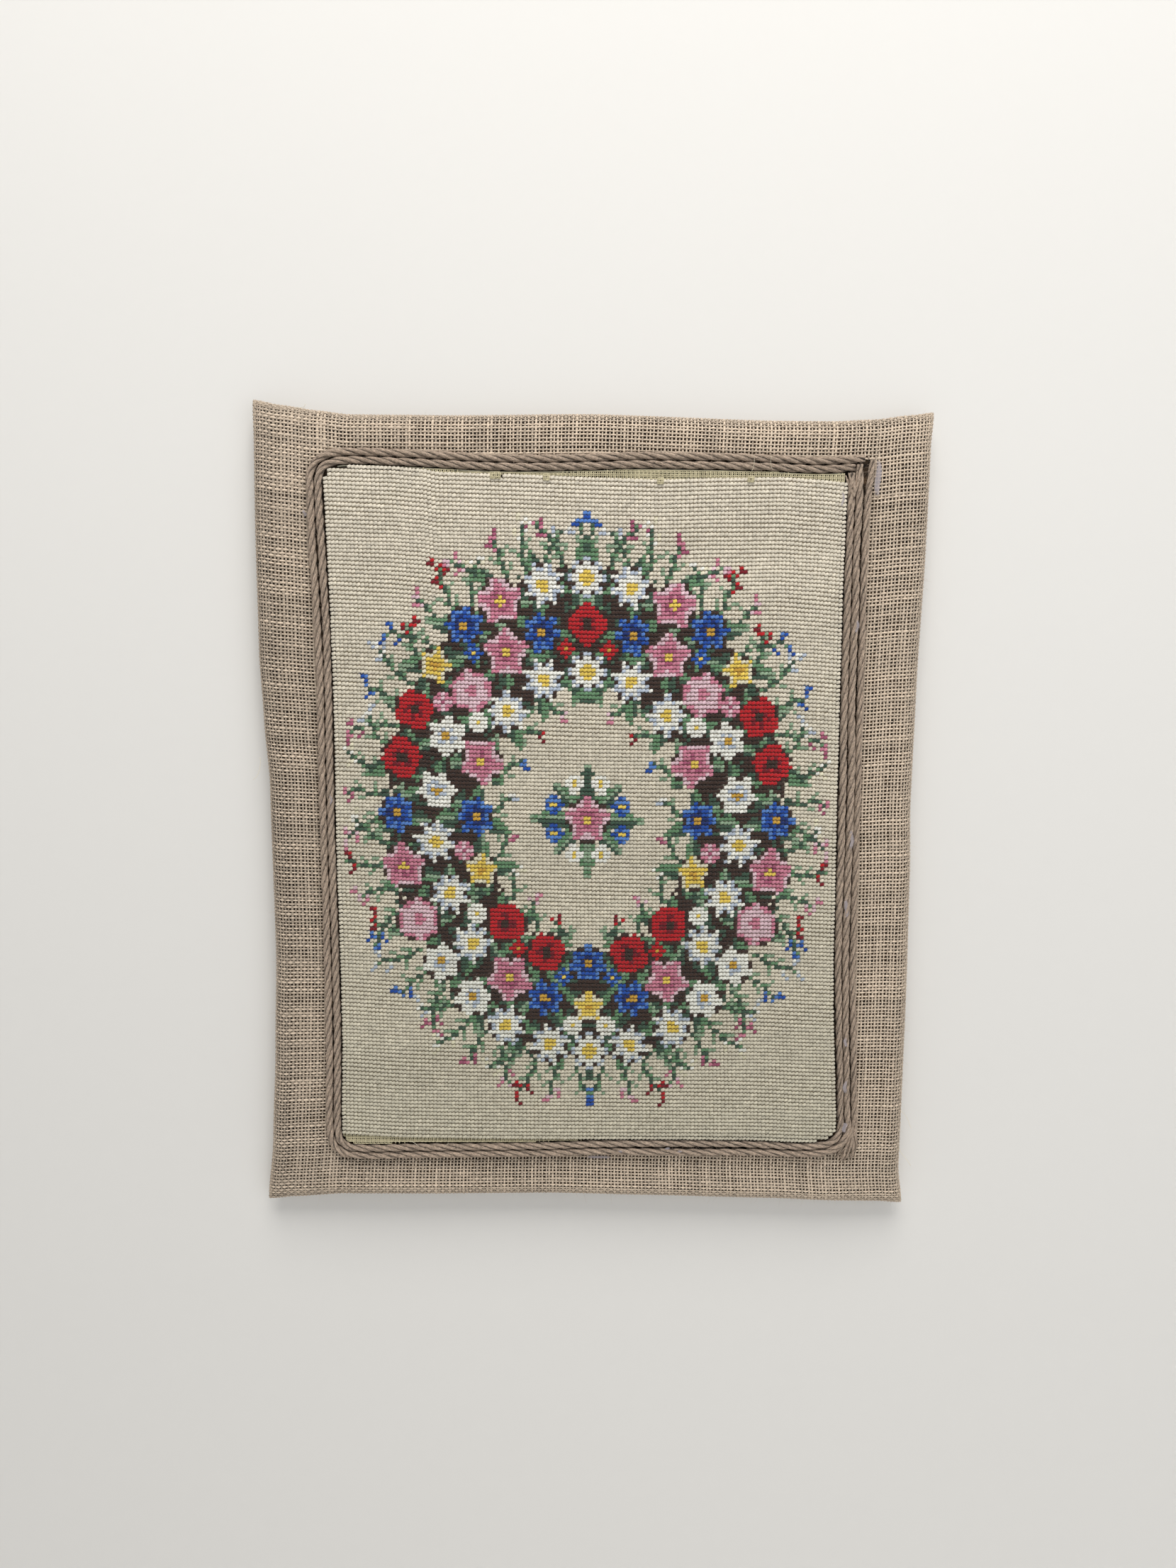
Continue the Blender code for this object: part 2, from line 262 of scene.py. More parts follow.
def makeMottle():
    # Slow cloudy change of tone over the whole object, as sun and dust leave on natural cloth
    group, given, result = newGroup(
        "mottle",
        [("Scale", "NodeSocketFloat", 12.0), ("Amount", "NodeSocketFloat", 0.2)],
        [("Tone", "NodeSocketFloat")],
    )
    place = group.nodes.new("ShaderNodeTexCoord")
    cloud = addNoise(group, place.outputs["Object"], given.outputs["Scale"], 4.0, 0.6)
    swing = addSwing(group, cloud, given.outputs["Amount"])
    group.links.new(addMath(group, "ADD", swing, 1.0), result.inputs["Tone"])
    return group


flatWeave = {"overShare": 0.35, "gapWidth": 0.45, "sharpness": 3.0, "softness": 0.2}


def makePlainWeave():
    # Plain weave for flat cloth, from a place attribute that counts threads both ways
    group, given, result = newGroup(
        "plainWeave", [("Place", "NodeSocketVector", None)],
        [("Height", "NodeSocketFloat"), ("Thread", "NodeSocketFloat")],
    )
    parts = group.nodes.new("ShaderNodeSeparateXYZ")
    group.links.new(given.outputs["Place"], parts.inputs[0])
    warp = addMath(group, "SINE", addMath(group, "MULTIPLY", parts.outputs[0], math.pi))
    weft = addMath(group, "SINE", addMath(group, "MULTIPLY", parts.outputs[1], math.pi))
    over = addMath(group, "MULTIPLY", addMath(group, "MULTIPLY", warp, weft), flatWeave["overShare"])
    warpBody = addMath(group, "ABSOLUTE", warp)
    weftBody = addMath(group, "ABSOLUTE", weft)
    warpHeight = addMath(group, "ADD", warpBody, over)
    weftHeight = addMath(group, "SUBTRACT", weftBody, over)
    height = addMath(group, "MAXIMUM", warpHeight, weftHeight)
    body = addMath(group, "MAXIMUM", warpBody, weftBody)
    above = addMath(group, "SUBTRACT", body, flatWeave["gapWidth"])
    sharp = addMath(group, "MULTIPLY", above, flatWeave["sharpness"])
    thread = addMath(group, "SMOOTH_MAX", sharp, 0.0, flatWeave["softness"])
    group.links.new(height, result.inputs["Height"])
    group.links.new(addMath(group, "MINIMUM", thread, 1.0), result.inputs["Thread"])
    return group


yarnTwist, mottle, plainWeave = makeYarnTwist(), makeMottle(), makePlainWeave()


def linear(colour):  # from the 0 to 255 numbers of a colour picker
    share = np.array(colour, float) / 255
    return np.where(share <= 0.04045, share / 12.92, ((share + 0.055) / 1.055) ** 2.4)


def newMaterial(name, roughness, sheen=0.0):
    material = bpy.data.materials.new(name)
    material.use_nodes = True
    shader = material.node_tree.nodes["Principled BSDF"]
    shader.inputs["Roughness"].default_value = roughness
    shader.inputs["Specular IOR Level"].default_value = 0.25
    shader.inputs["Sheen Weight"].default_value = sheen
    return material, material.node_tree, shader


def readAttribute(tree, name, output):
    node = tree.nodes.new("ShaderNodeAttribute")
    node.attribute_name = name
    return node.outputs[output]


def addGroup(tree, group, links=(), **values):
    node = tree.nodes.new("ShaderNodeGroup")
    node.node_tree = group
    for title, value in values.items():
        node.inputs[title].default_value = value
    for title, source in links:
        tree.links.new(source, node.inputs[title])
    return node


def mixed(tree, blend, factor, first, second):
    node = tree.nodes.new("ShaderNodeMix")
    node.data_type = "RGBA"
    node.blend_type = blend
    for socket, value in zip((node.inputs[0], node.inputs[6], node.inputs[7]), (factor, first, second)):
        if isinstance(value, (int, float)):
            socket.default_value = value
        elif isinstance(value, (tuple, list, np.ndarray)):
            socket.default_value = (*value, 1.0)
        else:
            tree.links.new(value, socket)
    return node.outputs[2]


def addBump(tree, shader, height, strength, distance):
    bump = tree.nodes.new("ShaderNodeBump")
    bump.inputs["Strength"].default_value = strength
    bump.inputs["Distance"].default_value = distance * mm
    tree.links.new(height, bump.inputs["Height"])
    tree.links.new(bump.outputs[0], shader.inputs["Normal"])


def yarnMaterial(name, look):
    # Yarn, thread or strand: its own tone, twisted fibres in bump and colour, and a slow mottle
    material, tree, shader = newMaterial(name, look["roughness"], look["sheen"])
    place = readAttribute(tree, "place", "Vector")
    twist = addGroup(
        tree, yarnTwist, [("Place", place)], Turns=look["turns"], Radius=look["radius"],
        **{"Fibre Scale": look["fibre"], "Ply Depth": look["ply"]},
    )
    cloud = addGroup(tree, mottle, Scale=look["cloudScale"], Amount=look["cloud"])
    tone = addSwing(tree, readAttribute(tree, "tone", "Fac"), look["spread"])
    streak = addSwing(tree, twist.outputs["Fibre"], look["streak"])
    level = addMath(tree, "ADD", addMath(tree, "ADD", tone, streak), cloud.outputs["Tone"])
    colour = linear(look["colour"]) if "colour" in look else readAttribute(tree, "colour", "Color")
    tree.links.new(mixed(tree, "MULTIPLY", 1.0, colour, level), shader.inputs["Base Color"])
    addBump(tree, shader, twist.outputs["Height"], look["bump"], look["relief"])
    return material


def copyOfNode(node, name, material):
    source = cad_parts[node]
    piece = bpy.data.objects.new(name, source.data.copy())
    piece.matrix_world = source.matrix_world
    bpy.context.scene.collection.objects.link(piece)
    piece.data.materials.clear()
    piece.data.materials.append(material)
    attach(piece, "root")
    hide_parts(node)
    print(f"{name}: a copy of {node}")
    return piece


# The padded panel: its surface carries every other piece

panel = {
    "topLeft": (-208.6, 8.1), "topRight": (208.3, 6.4),
    "bottomLeft": (-209.9, -502.6), "bottomRight": (209.6, -505.0),
    "width": 418.0, "height": 511.0, "middle": -249.0,
    "seamDepth": 7.0, "frontRise": 9.5, "frontRound": 11.0, "threadRound": 10.5, "backRound": 8.0,
    "earReach": 62.0, "earThin": 0.60, "earCurve": 1.5,
    # The crown in the middle, and a slow wave over the face: its height, rates and starts in X and Z
    "crown": 1.5, "wave": 0.3, "waveRates": (0.031, 0.024), "waveStarts": (0.7, 1.9),
    # Columns: share of the side, distance drawn in from the straight line between its corners
    "topDraw": (
        (0.00, 0.0), (0.04, 3.0), (0.09, 5.8), (0.14, 7.9), (0.27, 7.4), (0.50, 5.1), (0.76, 7.0),
        (0.85, 6.7), (0.91, 5.2), (0.97, 1.9), (1.00, 0.0),
    ),
    "bottomDraw": (
        (0.00, 0.0), (0.04, 2.1), (0.12, 4.8), (0.24, 4.9), (0.45, 6.2), (0.59, 5.1), (0.79, 3.4),
        (0.90, 1.7), (0.96, 1.3), (1.00, 0.0),
    ),
    "leftDraw": (
        (0.00, 0.0), (0.05, 0.5), (0.15, 0.4), (0.30, 1.2), (0.38, 3.4), (0.46, 6.4), (0.68, 8.2),
        (0.80, 6.6), (0.92, 4.0), (1.00, 0.0),
    ),
    "rightDraw": (
        (0.00, 0.0), (0.04, 1.4), (0.16, 2.1), (0.32, 4.4), (0.48, 5.2), (0.56, 3.7), (0.72, 2.9),
        (0.95, 3.2), (1.00, 0.0),
    ),
}


def shoulder(distance, radius):  # 0 at a side, rising round a quarter circle to 1 at the radius
    return np.sqrt(1 - (1 - np.clip(distance / radius, 0, 1)) ** 2)


def ear(x, z):  # share of the full rise that is left towards the drawn-out corners
    corners = [panel[key] for key in ("topLeft", "topRight", "bottomLeft", "bottomRight")]
    nearest = np.min([np.hypot(x - corner[0], z - corner[1]) for corner in corners], axis=0)
    return 1 - panel["earThin"] * np.clip(1 - nearest / panel["earReach"], 0, 1) ** panel["earCurve"]


def crown(x, z):
    across = 1 - (x / (panel["width"] / 2)) ** 2
    along = 1 - ((z - panel["middle"]) / (panel["height"] / 2)) ** 2
    (rateX, rateZ), (startX, startZ) = panel["waveRates"], panel["waveStarts"]
    wave = np.sin(x * rateX + startX) * np.sin(z * rateZ + startZ)
    return panel["crown"] * np.clip(across, 0, 1) * np.clip(along, 0, 1) + panel["wave"] * wave


def faceDepth(x, z):  # depth of the panel's front, away from its rounded sides
    return panel["seamDepth"] + panel["frontRise"] * ear(x, z) + crown(x, z)


def panelPlace(u, v):  # x and z at shares of the width and height, blended from the four sides
    (ax, az), (bx, bz), (cx, cz), (dx, dz) = (
        panel[key] for key in ("topLeft", "topRight", "bottomLeft", "bottomRight")
    )
    straightX = (1 - v) * (ax + (bx - ax) * u) + v * (cx + (dx - cx) * u)
    straightZ = (1 - v) * (az + (bz - az) * u) + v * (cz + (dz - cz) * u)
    x = straightX + (1 - u) * tableAt(panel["leftDraw"], v) - u * tableAt(panel["rightDraw"], v)
    z = straightZ - (1 - v) * tableAt(panel["topDraw"], u) + v * tableAt(panel["bottomDraw"], u)
    return x, z


def fromSides(u, v):  # distances from the nearer upright side and from the nearer level side
    return panel["width"] * np.minimum(u, 1 - u), panel["height"] * np.minimum(v, 1 - v)


def panelFront(u, v):
    x, z = panelPlace(u, v)
    across, along = fromSides(u, v)
    rise = shoulder(across, panel["frontRound"]) * shoulder(along, panel["frontRound"])
    depth = panel["seamDepth"] + rise * (panel["frontRise"] * ear(x, z) + crown(x, z))
    return np.stack([x, -depth, z], axis=-1)


def panelBack(u, v):  # flat, but for the rounded sides and the thin corners
    x, z = panelPlace(u, v)
    across, along = fromSides(u, v)
    fall = shoulder(across, panel["backRound"]) * shoulder(along, panel["backRound"])
    thin = ear(x, z)
    full = np.clip(np.maximum(across, along) / panel["earReach"], 0, 1)
    return np.stack([x, -panel["seamDepth"] * (1 - fall * (thin + (1 - thin) * full)), z], axis=-1)


def onPanel(x, z, lift):  # points at a height over the panel's front
    return np.stack([x, -(faceDepth(x, z) + lift), z], axis=-1)


def threadShares(length, pitch):  # where threads cross a width that turns down at both sides
    radius = panel["threadRound"]
    quarter = radius * math.pi / 2
    half = quarter + length / 2 - radius
    count = round(2 * half / pitch)
    travel = (np.arange(count) + 0.5) * half * 2 / count
    near = np.minimum(travel, 2 * half - travel)
    inset = np.where(near < quarter, radius * (1 - np.cos(near / radius)), radius + near - quarter)
    return np.where(travel < half, inset, length - inset) / length


burlap = {
    "pitch": 2.25, "halfWidth": 0.60, "halfHeight": 0.42, "wave": 0.40, "lift": 0.05, "seed": 11,
    "profile": (-15.0, 55.0, 125.0, 195.0), "coverSink": 0.55,
    # A thread's drift to the side: its size, and the rates of the waves along it
    "wander": 0.17, "wanderRates": (0.02, 0.06, 0.17), "leastShare": 0.0003,
    # The weave is closer at the top left, and the threads down the cloth are duller at the left
    "closeStart": 1.15, "closeFall": 2.2, "closeHeight": 0.8, "closeExtra": 0.14, "waveExtra": 0.07,
    "dull": 0.7,
    # The side rope hides the threads to the right of this X and below this Z
    "sideStart": (150.0, -27.0),
    "yarn": {
        "colour": (193, 176, 156), "roughness": 0.92, "sheen": 0.12, "turns": 0.12, "radius": 0.8,
        "fibre": 2.6, "ply": 0.0, "cloudScale": 14.0, "cloud": 0.26, "spread": 0.42, "streak": 1.3,
        "bump": 0.9, "relief": 0.25,
    },
    # The flat cloth of the back: its fibres, level and bump
    "flat": {"fibre": 3.0, "streak": 0.5, "level": 0.72, "bump": 0.8, "relief": 0.5},
    # Painted shade in the holes between the threads: its colour, and how patches of it go darker
    "gapShadeColour": (80, 62, 45), "patchScale": 0.45, "patchStart": 0.32, "patchRise": 3.0, "patchLeast": 0.15,
}
# How a woven thread varies: from thread to thread, slowly along it, and from place to place
unevenThread = {
    "body": (0.82, 1.18), "slowRate": (0.05, 0.35), "slow": 0.14, "quick": 0.13, "limits": (0.5, 1.65),
    "heightShare": 0.4, "shortest": 3,
    "dullPart": 5,  # the dull threads take up one part in this many of the width
}


def makeBurlapClothAndGapShade():
    look, flat = burlap["yarn"], burlap["flat"]
    material, tree, shader = newMaterial("burlapClothAndGapShade", look["roughness"], look["sheen"])
    place = readAttribute(tree, "place", "Vector")
    weave = addGroup(tree, plainWeave, [("Place", place)])
    cloud = addGroup(tree, mottle, Scale=look["cloudScale"], Amount=look["cloud"])
    fibre = addNoise(tree, place, flat["fibre"], 3.0, 0.6)
    level = addMath(tree, "ADD", addMath(tree, "MULTIPLY", fibre, flat["streak"]), flat["level"])
    level = addMath(tree, "MULTIPLY", level, cloud.outputs["Tone"])
    thread = mixed(tree, "MULTIPLY", 1.0, linear(look["colour"]), level)
    # Under the modelled threads of the front only the painted shade of the gaps shows, darker in patches; on
    # the back it fills the gaps of the flat weave
    bare = addMath(tree, "MULTIPLY", weave.outputs["Thread"], readAttribute(tree, "tone", "Fac"))
    noise = addNoise(tree, place, burlap["patchScale"], 1.0)
    patches = addMath(tree, "SUBTRACT", noise, burlap["patchStart"])
    patches = addMath(tree, "MULTIPLY", patches, burlap["patchRise"])
    patches = addMath(tree, "MAXIMUM", patches, burlap["patchLeast"])
    gap = mixed(tree, "MULTIPLY", 1.0, linear(burlap["gapShadeColour"]), patches)
    tree.links.new(mixed(tree, "MIX", bare, gap, thread), shader.inputs["Base Color"])
    addBump(tree, shader, weave.outputs["Height"], flat["bump"], flat["relief"])
    return material


def makePanelCover(material):
    # One closed pillow under the threads: front and back grids that share the seam
    columns = np.concatenate([[0], threadShares(panel["width"], 2 * burlap["pitch"]), [1]])
    rows = np.concatenate([[0], threadShares(panel["height"], 2 * burlap["pitch"]), [1]])
    u, v = np.meshgrid(columns, rows, indexing="ij")
    front, back = panelFront(u, v), panelBack(u, v)
    front[1:-1, 1:-1, 1] += burlap["coverSink"]
    index = np.arange(u.size).reshape(u.shape)
    backIndex = index + u.size
    for edge in (np.s_[0, :], np.s_[-1, :], np.s_[:, 0], np.s_[:, -1]):
        backIndex[edge] = index[edge]
    threads = np.stack([u * panel["width"], v * panel["height"], 0 * u], axis=-1) / burlap["pitch"]
    threads = threads.reshape(-1, 3)
    part = trimmed({
        "points": np.concatenate([front.reshape(-1, 3), back.reshape(-1, 3)]),
        "faces": np.concatenate([
            squares(index)[..., [0, 3, 2, 1]].reshape(-1, 4),
            squares(backIndex)[..., [1, 2, 3, 0]].reshape(-1, 4),
        ]),
        "place": np.concatenate([threads, threads]),
        # tone is 0 on the front, where the cover shows only painted gap shade, and 1 on the back
        "tone": np.repeat([0.0, 1.0], u.size),
    })
    cover = addPiece("burlap_cover", part, material, ["burlap_panel"])


def weaveRuns(grid, normal, keep, first, look, chance):
    # Threads along the second axis of the grid, over and under by turns, where keep is true
    parts = []
    flat = unevenThread["heightShare"]
    for i in range(len(grid)):
        ends = np.flatnonzero(np.diff(np.concatenate([[0], keep[i].astype(int), [0]])))
        tone = chance.random() - look["dull"] * max(0.0, 1 - unevenThread["dullPart"] * i / len(grid))
        body = chance.uniform(*unevenThread["body"])
        rate, phase = chance.uniform(*unevenThread["slowRate"]), chance.uniform(0, math.tau)
        for start, end in ends.reshape(-1, 2):
            if end - start < unevenThread["shortest"]:
                continue
            j = np.arange(start, end)
            lift = look["lift"] + look["wave"] * np.where((i + j + first) % 2, 1, -1)
            slow = unevenThread["slow"] * np.sin(j * rate + phase)
            quick = unevenThread["quick"] * chance.standard_normal(len(j))
            slub = body * (1 + slow + quick) * look["thick"][i, start:end]
            slub = np.clip(slub, *unevenThread["limits"])
            centres = grid[i, start:end] + normal[i, start:end] * lift[:, None]
            width, height = look["halfWidth"] * slub, look["halfHeight"] * (1 - flat + flat * slub)
            parts.append(tubes(
                centres[None], normal[i, start:end][None], width[None], height[None], look["profile"],
                start=chance.uniform(0, 400), tone=tone,
            ))
    return parts


def weaveCloth(warp, weft, normal, keep, look, chance):
    # The threads down the cloth, then the threads across it
    down = weaveRuns(warp, normal, keep, 0, look, chance)
    look = dict(look, thick=look["thick"].T, dull=0.0)
    return down, weaveRuns(np.swapaxes(weft, 0, 1), np.swapaxes(normal, 0, 1), keep.T, 1, look, chance)


def wander(count, along, chance):  # a slow sideways drift for each thread
    made = np.zeros((count, along))
    step = np.arange(along)
    rates, size = burlap["wanderRates"], burlap["wander"]
    for rate in rates:
        phase = chance.uniform(0, math.tau, (count, 1))
        made += np.sin(step * rate * chance.uniform(0.7, 1.3, (count, 1)) + phase)
    return made * size / len(rates) + chance.standard_normal((count, 1)) * size * 0.5


def underRopes(x, z, lines):  # where the rope frame and the side rope cover the burlap
    outer = lines["rope_outer"]
    inFrame = (outsideDistance(x, z, outer) < 0) & (x < outer[:, 0].max()) & (z < outer[:, 1].max())
    side = lines["rope_side"][::-1]
    startX, startZ = burlap["sideStart"]
    besideFrame = (x > startX) & (x < np.interp(z, side[:, 1], side[:, 0]))
    return inFrame | (besideFrame & (z < startZ) & (z > side[0, 1]))


def makeBurlapThreads(lines, material):
    chance = np.random.default_rng(burlap["seed"])
    columns = threadShares(panel["width"], burlap["pitch"])
    rows = threadShares(panel["height"], burlap["pitch"])
    u, v = np.meshgrid(columns, rows, indexing="ij")
    even = panelFront(u, v)
    normal = unit(np.cross(np.gradient(even, axis=1), np.gradient(even, axis=0)))
    least = burlap["leastShare"]
    drift = wander(len(columns), len(rows), chance) / panel["width"]
    warp = panelFront(np.clip(u + drift, least, 1 - least), v)
    drift = wander(len(rows), len(columns), chance).T / panel["height"]
    weft = panelFront(u, np.clip(v + drift, least, 1 - least))
    # Threads under the ropes are left out, so the cover's painted gap shade shows dark between and under the
    # ropes
    hidden = underRopes(even[..., 0], even[..., 2], lines)
    away = np.hypot(u, v * burlap["closeHeight"])
    close = np.clip(burlap["closeStart"] - burlap["closeFall"] * away, 0, 1)
    slow = np.sin(u * 9 + 1) * np.sin(v * 7 + 2)
    thick = 1.0 + burlap["closeExtra"] * close + burlap["waveExtra"] * slow
    look = dict(burlap, thick=thick)
    warpParts, weftParts = weaveCloth(warp, weft, normal, ~hidden, look, chance)
    addPiece("burlap_threads_down", joined(warpParts), material)
    addPiece("burlap_threads_across", joined(weftParts), material)


# The ropes

rope = {
    "radius": 2.35, "sideRadius": 2.05, "fitGap": 0.3, "step": 1.5, "corners": 8, "seed": 5,
    "strands": 3, "strandShare": 0.54, "helixShare": 0.51, "swell": 0.07, "sway": 0.10, "swayRate": 0.19,
    # Length of one turn of the strands, which differs down the left and right sides
    "lay": 30.0, "leftLay": 26.0, "looseLay": 28.0,
    "leftEdge": -155.0, "looseFrom": 150.0, "looseWidth": 8.0, "sidesBelow": -40.0,
    # The ends thin down as the root of the travel from endTip over endReach, at least of endShare
    "endShare": 0.6, "endReach": 6.0, "endTip": 2.0,
    # Painted shade darkens the grooves between the strands from this share of the radius inwards
    "grooveShade": 4.2, "grooveEdge": 0.86, "grooveWidth": 0.40,
    # Columns: X, Z, distance out to the middle of the outer round
    "route": (
        (158.2, -28.5, 5.0), (136.0, -29.9, 5.0), (104.0, -28.9, 5.1), (54.2, -28.5, 5.2),
        (24.3, -28.6, 5.0), (-5.6, -29.9, 5.0), (-55.3, -30.9, 5.0), (-115.1, -29.0, 5.2),
        (-150.0, -28.4, 5.0), (-161.9, -30.6, 5.2), (-166.8, -36.0, 5.3), (-167.7, -44.0, 5.0),
        (-166.1, -85.2, 5.6), (-164.4, -125.0, 5.5), (-163.6, -160.0, 5.0), (-163.2, -234.6, 5.0),
        (-161.9, -324.2, 5.0), (-161.3, -393.9, 5.2), (-162.1, -446.0, 5.0), (-160.0, -458.0, 5.3),
        (-152.0, -462.4, 5.0), (-115.1, -462.2, 5.0), (-25.5, -460.9, 5.0), (4.4, -459.6, 5.3),
        (64.2, -459.2, 6.0), (104.0, -459.5, 5.7), (143.8, -461.1, 5.0), (159.2, -458.0, 5.0),
        (164.2, -450.0, 4.6), (164.1, -438.8, 4.4), (162.0, -400.0, 4.4), (160.0, -364.1, 4.6),
        (158.5, -324.2, 4.8), (158.0, -260.0, 5.1), (157.4, -214.7, 5.4), (156.5, -170.0, 4.8),
        (156.3, -115.1, 5.0), (156.3, -75.2, 4.6), (156.5, -45.4, 5.0), (156.5, -32.0, 4.8),
    ),
    # The outer round takes every third point, from the seventh on, between these two ends
    "outerStart": (164.0, -23.3), "outerEnd": (161.3, -26.8), "outerFrom": 6, "outerEvery": 3,
    # Columns: X, Z
    "sideRoute": (
        (169.0, -23.8), (168.0, -34.0), (166.9, -47.0), (166.0, -75.2), (166.4, -130.0),
        (166.7, -184.8), (167.5, -230.0), (167.9, -300.0), (168.4, -344.1), (170.5, -384.0),
        (172.3, -423.8), (173.5, -448.0), (173.2, -455.0),
    ),
    # The frayed bottom end. Columns of ends: X and Z of the tip, sideways bend, start radius
    "fray": {"root": (172.0, -448.0), "lift": 3.6, "drop": 2.2, "ends": (
        (163.2, -469.6, -1.6, 0.85), (165.2, -471.6, 1.2, 0.70), (166.8, -470.4, -0.8, 0.90),
        (168.9, -471.2, 0.9, 0.80), (170.3, -469.2, -1.3, 0.85), (172.4, -470.4, 1.8, 0.70),
        (173.8, -468.0, 0.6, 0.90), (175.4, -465.8, 1.6, 0.60), (161.0, -467.4, -1.0, 0.60),
        (164.4, -470.8, 0.8, 0.35), (167.8, -472.4, -1.4, 0.35), (171.4, -471.8, 1.0, 0.35),
        (176.6, -462.5, 1.9, 0.35), (174.6, -469.4, -1.0, 0.40), (162.0, -470.2, 1.1, 0.35),
    )},
    # The strands spread at the top of the right side, in the same columns
    "spread": {"root": (157.6, -46.0), "lift": 4.3, "drop": 1.6, "ends": (
        (152.6, -33.8, -0.9, 0.85), (154.2, -32.4, 0.0, 0.90), (156.6, -31.7, 0.4, 0.90),
        (159.4, -31.5, 0.6, 0.85), (162.6, -30.2, 0.8, 0.75),
    )},
    "endWave": 0.7, "endTaper": 0.55, "endFlat": 1.15,
    "yarn": {
        "colour": (185, 164, 144), "roughness": 0.9, "sheen": 0.1, "turns": -0.03, "radius": 1.1,
        "fibre": 3.6, "ply": 0.06, "cloudScale": 25.0, "cloud": 0.30, "spread": 0.22, "streak": 3.8,
        "bump": 1.0, "relief": 1.4,
    },
}


def ropeLines():  # middle line and radius of each rope, as columns X, Z, radius
    rows = smoothLine(rope["route"], rope["step"])
    radius = np.minimum(rope["radius"], (rows[:, 2] - rope["fitGap"]) / 2)
    inner = np.column_stack([rows[:, :2], radius])
    outer = np.column_stack([beside(rows[:, :2], rows[:, 2]), radius])
    outer = np.concatenate([
        [(*rope["outerStart"], radius[0])], outer[rope["outerFrom"]::rope["outerEvery"]],
        [(*rope["outerEnd"], radius[-1])],
    ])
    side = smoothLine(rope["sideRoute"], rope["step"])
    side = np.column_stack([side, np.full(len(side), rope["sideRadius"])])
    return {"rope_inner": inner, "rope_outer": smoothLine(outer, rope["step"]), "rope_side": side}


def layAt(x, z):  # length of one turn of the strands along the rope
    sides = z < rope["sidesBelow"]
    loose = np.clip((x - rope["looseFrom"]) / rope["looseWidth"], 0, 1) * sides
    lay = rope["lay"] + (rope["looseLay"] - rope["lay"]) * loose
    return np.where((x < rope["leftEdge"]) & sides, rope["leftLay"], lay)


def makeRope(name, line, material, chance):
    x, z, radius = line.T
    x = x + rope["sway"] * np.sin(np.arange(len(x)) * rope["swayRate"] + chance.uniform(0, 6))
    centre = onPanel(x, z, rope["fitGap"] + radius)
    front = facingFront(centre)
    side = unit(np.cross(front, unit(np.gradient(centre, axis=0))))
    steps = np.concatenate([[0], np.linalg.norm(np.diff(centre, axis=0), axis=1)])
    travel = np.cumsum(steps)
    turn = math.tau * np.cumsum(steps / layAt(x, z))
    toEnd = np.minimum(travel + rope["endTip"], travel[-1] + rope["endTip"] - travel)
    ends = np.clip(toEnd / rope["endReach"], rope["endShare"], 1) ** 0.5
    parts = []
    for strand in range(rope["strands"]):
        angle = (turn + math.tau * strand / rope["strands"])[:, None]
        swell = 1 + rope["swell"] * np.sin(travel * chance.uniform(0.1, 0.3) + chance.uniform(0, 6))
        reach = (radius * rope["helixShare"])[:, None]
        middle = centre + (side * np.cos(angle) + front * np.sin(angle)) * reach
        thick = radius * rope["strandShare"] * swell * ends
        part = tubes(
            middle[None], front[None], thick[None], thick[None], roundProfile(rope["corners"]), tips=0.3,
            start=chance.uniform(0, 300), tone=chance.uniform(0.3, 0.7),
        )
        # Painted shade darkens the grooves between the strands
        near = np.repeat(centre, rope["corners"], axis=0)
        away = np.linalg.norm(part["points"][1:-1] - near, axis=1) / np.repeat(radius, rope["corners"])
        paintedShade = np.clip((rope["grooveEdge"] - away) / rope["grooveWidth"], 0, 1)
        part["tone"][1:-1] -= rope["grooveShade"] * paintedShade
        parts.append(part)
    addPiece(f"{name}_strands", joined(parts), material, [name])


def makeFray(material, chance):
    # Loose yarns at the bottom end of the side rope, and spread strands at the top corner
    parts = []
    t = np.linspace(0, 1, 10)
    for group in (rope["fray"], rope["spread"]):
        rootX, rootZ = group["root"]
        for tipX, tipZ, bend, radius in group["ends"]:
            x = rootX + (tipX - rootX) * t ** 1.5 + bend * np.sin(t * math.pi)
            z = rootZ + (tipZ - rootZ) * t
            wave = rope["endWave"] * np.sin(t * math.pi * 1.6 + tipX)
            centres = onPanel(x, z, group["lift"] - group["drop"] * t + wave)[None]
            thick = (radius * (1 - rope["endTaper"] * t ** 3))[None]
            parts.append(tubes(
                centres, facingFront(centres), thick * rope["endFlat"], thick, roundProfile(6), tips=0.8,
                start=chance.uniform(0, 90), tone=chance.uniform(0.2, 0.9),
            ))
    addPiece("rope_fray", joined(parts), material)


hairs = {
    "reach": (1.5, 6.0), "radius": 0.055, "stray": 0.5, "curl": 0.6, "droop": 0.6, "behind": 0.3,
    # On the ropes: length of rope for each fibre, and the share kept everywhere but on the right side
    "perRope": 1.1, "keptShare": 0.6,
    # On the burlap: how many, the share near its sides, and where those stand as shares of the side
    "count": 420, "sideShare": 0.6, "sideBands": ((0.003, 0.02), (0.98, 0.997)), "outward": 1.6,
    # None stand on the burlap inside this area: X from and to, Z from and to
    "framed": (-172.0, 174.0, -474.0, -20.0),
}


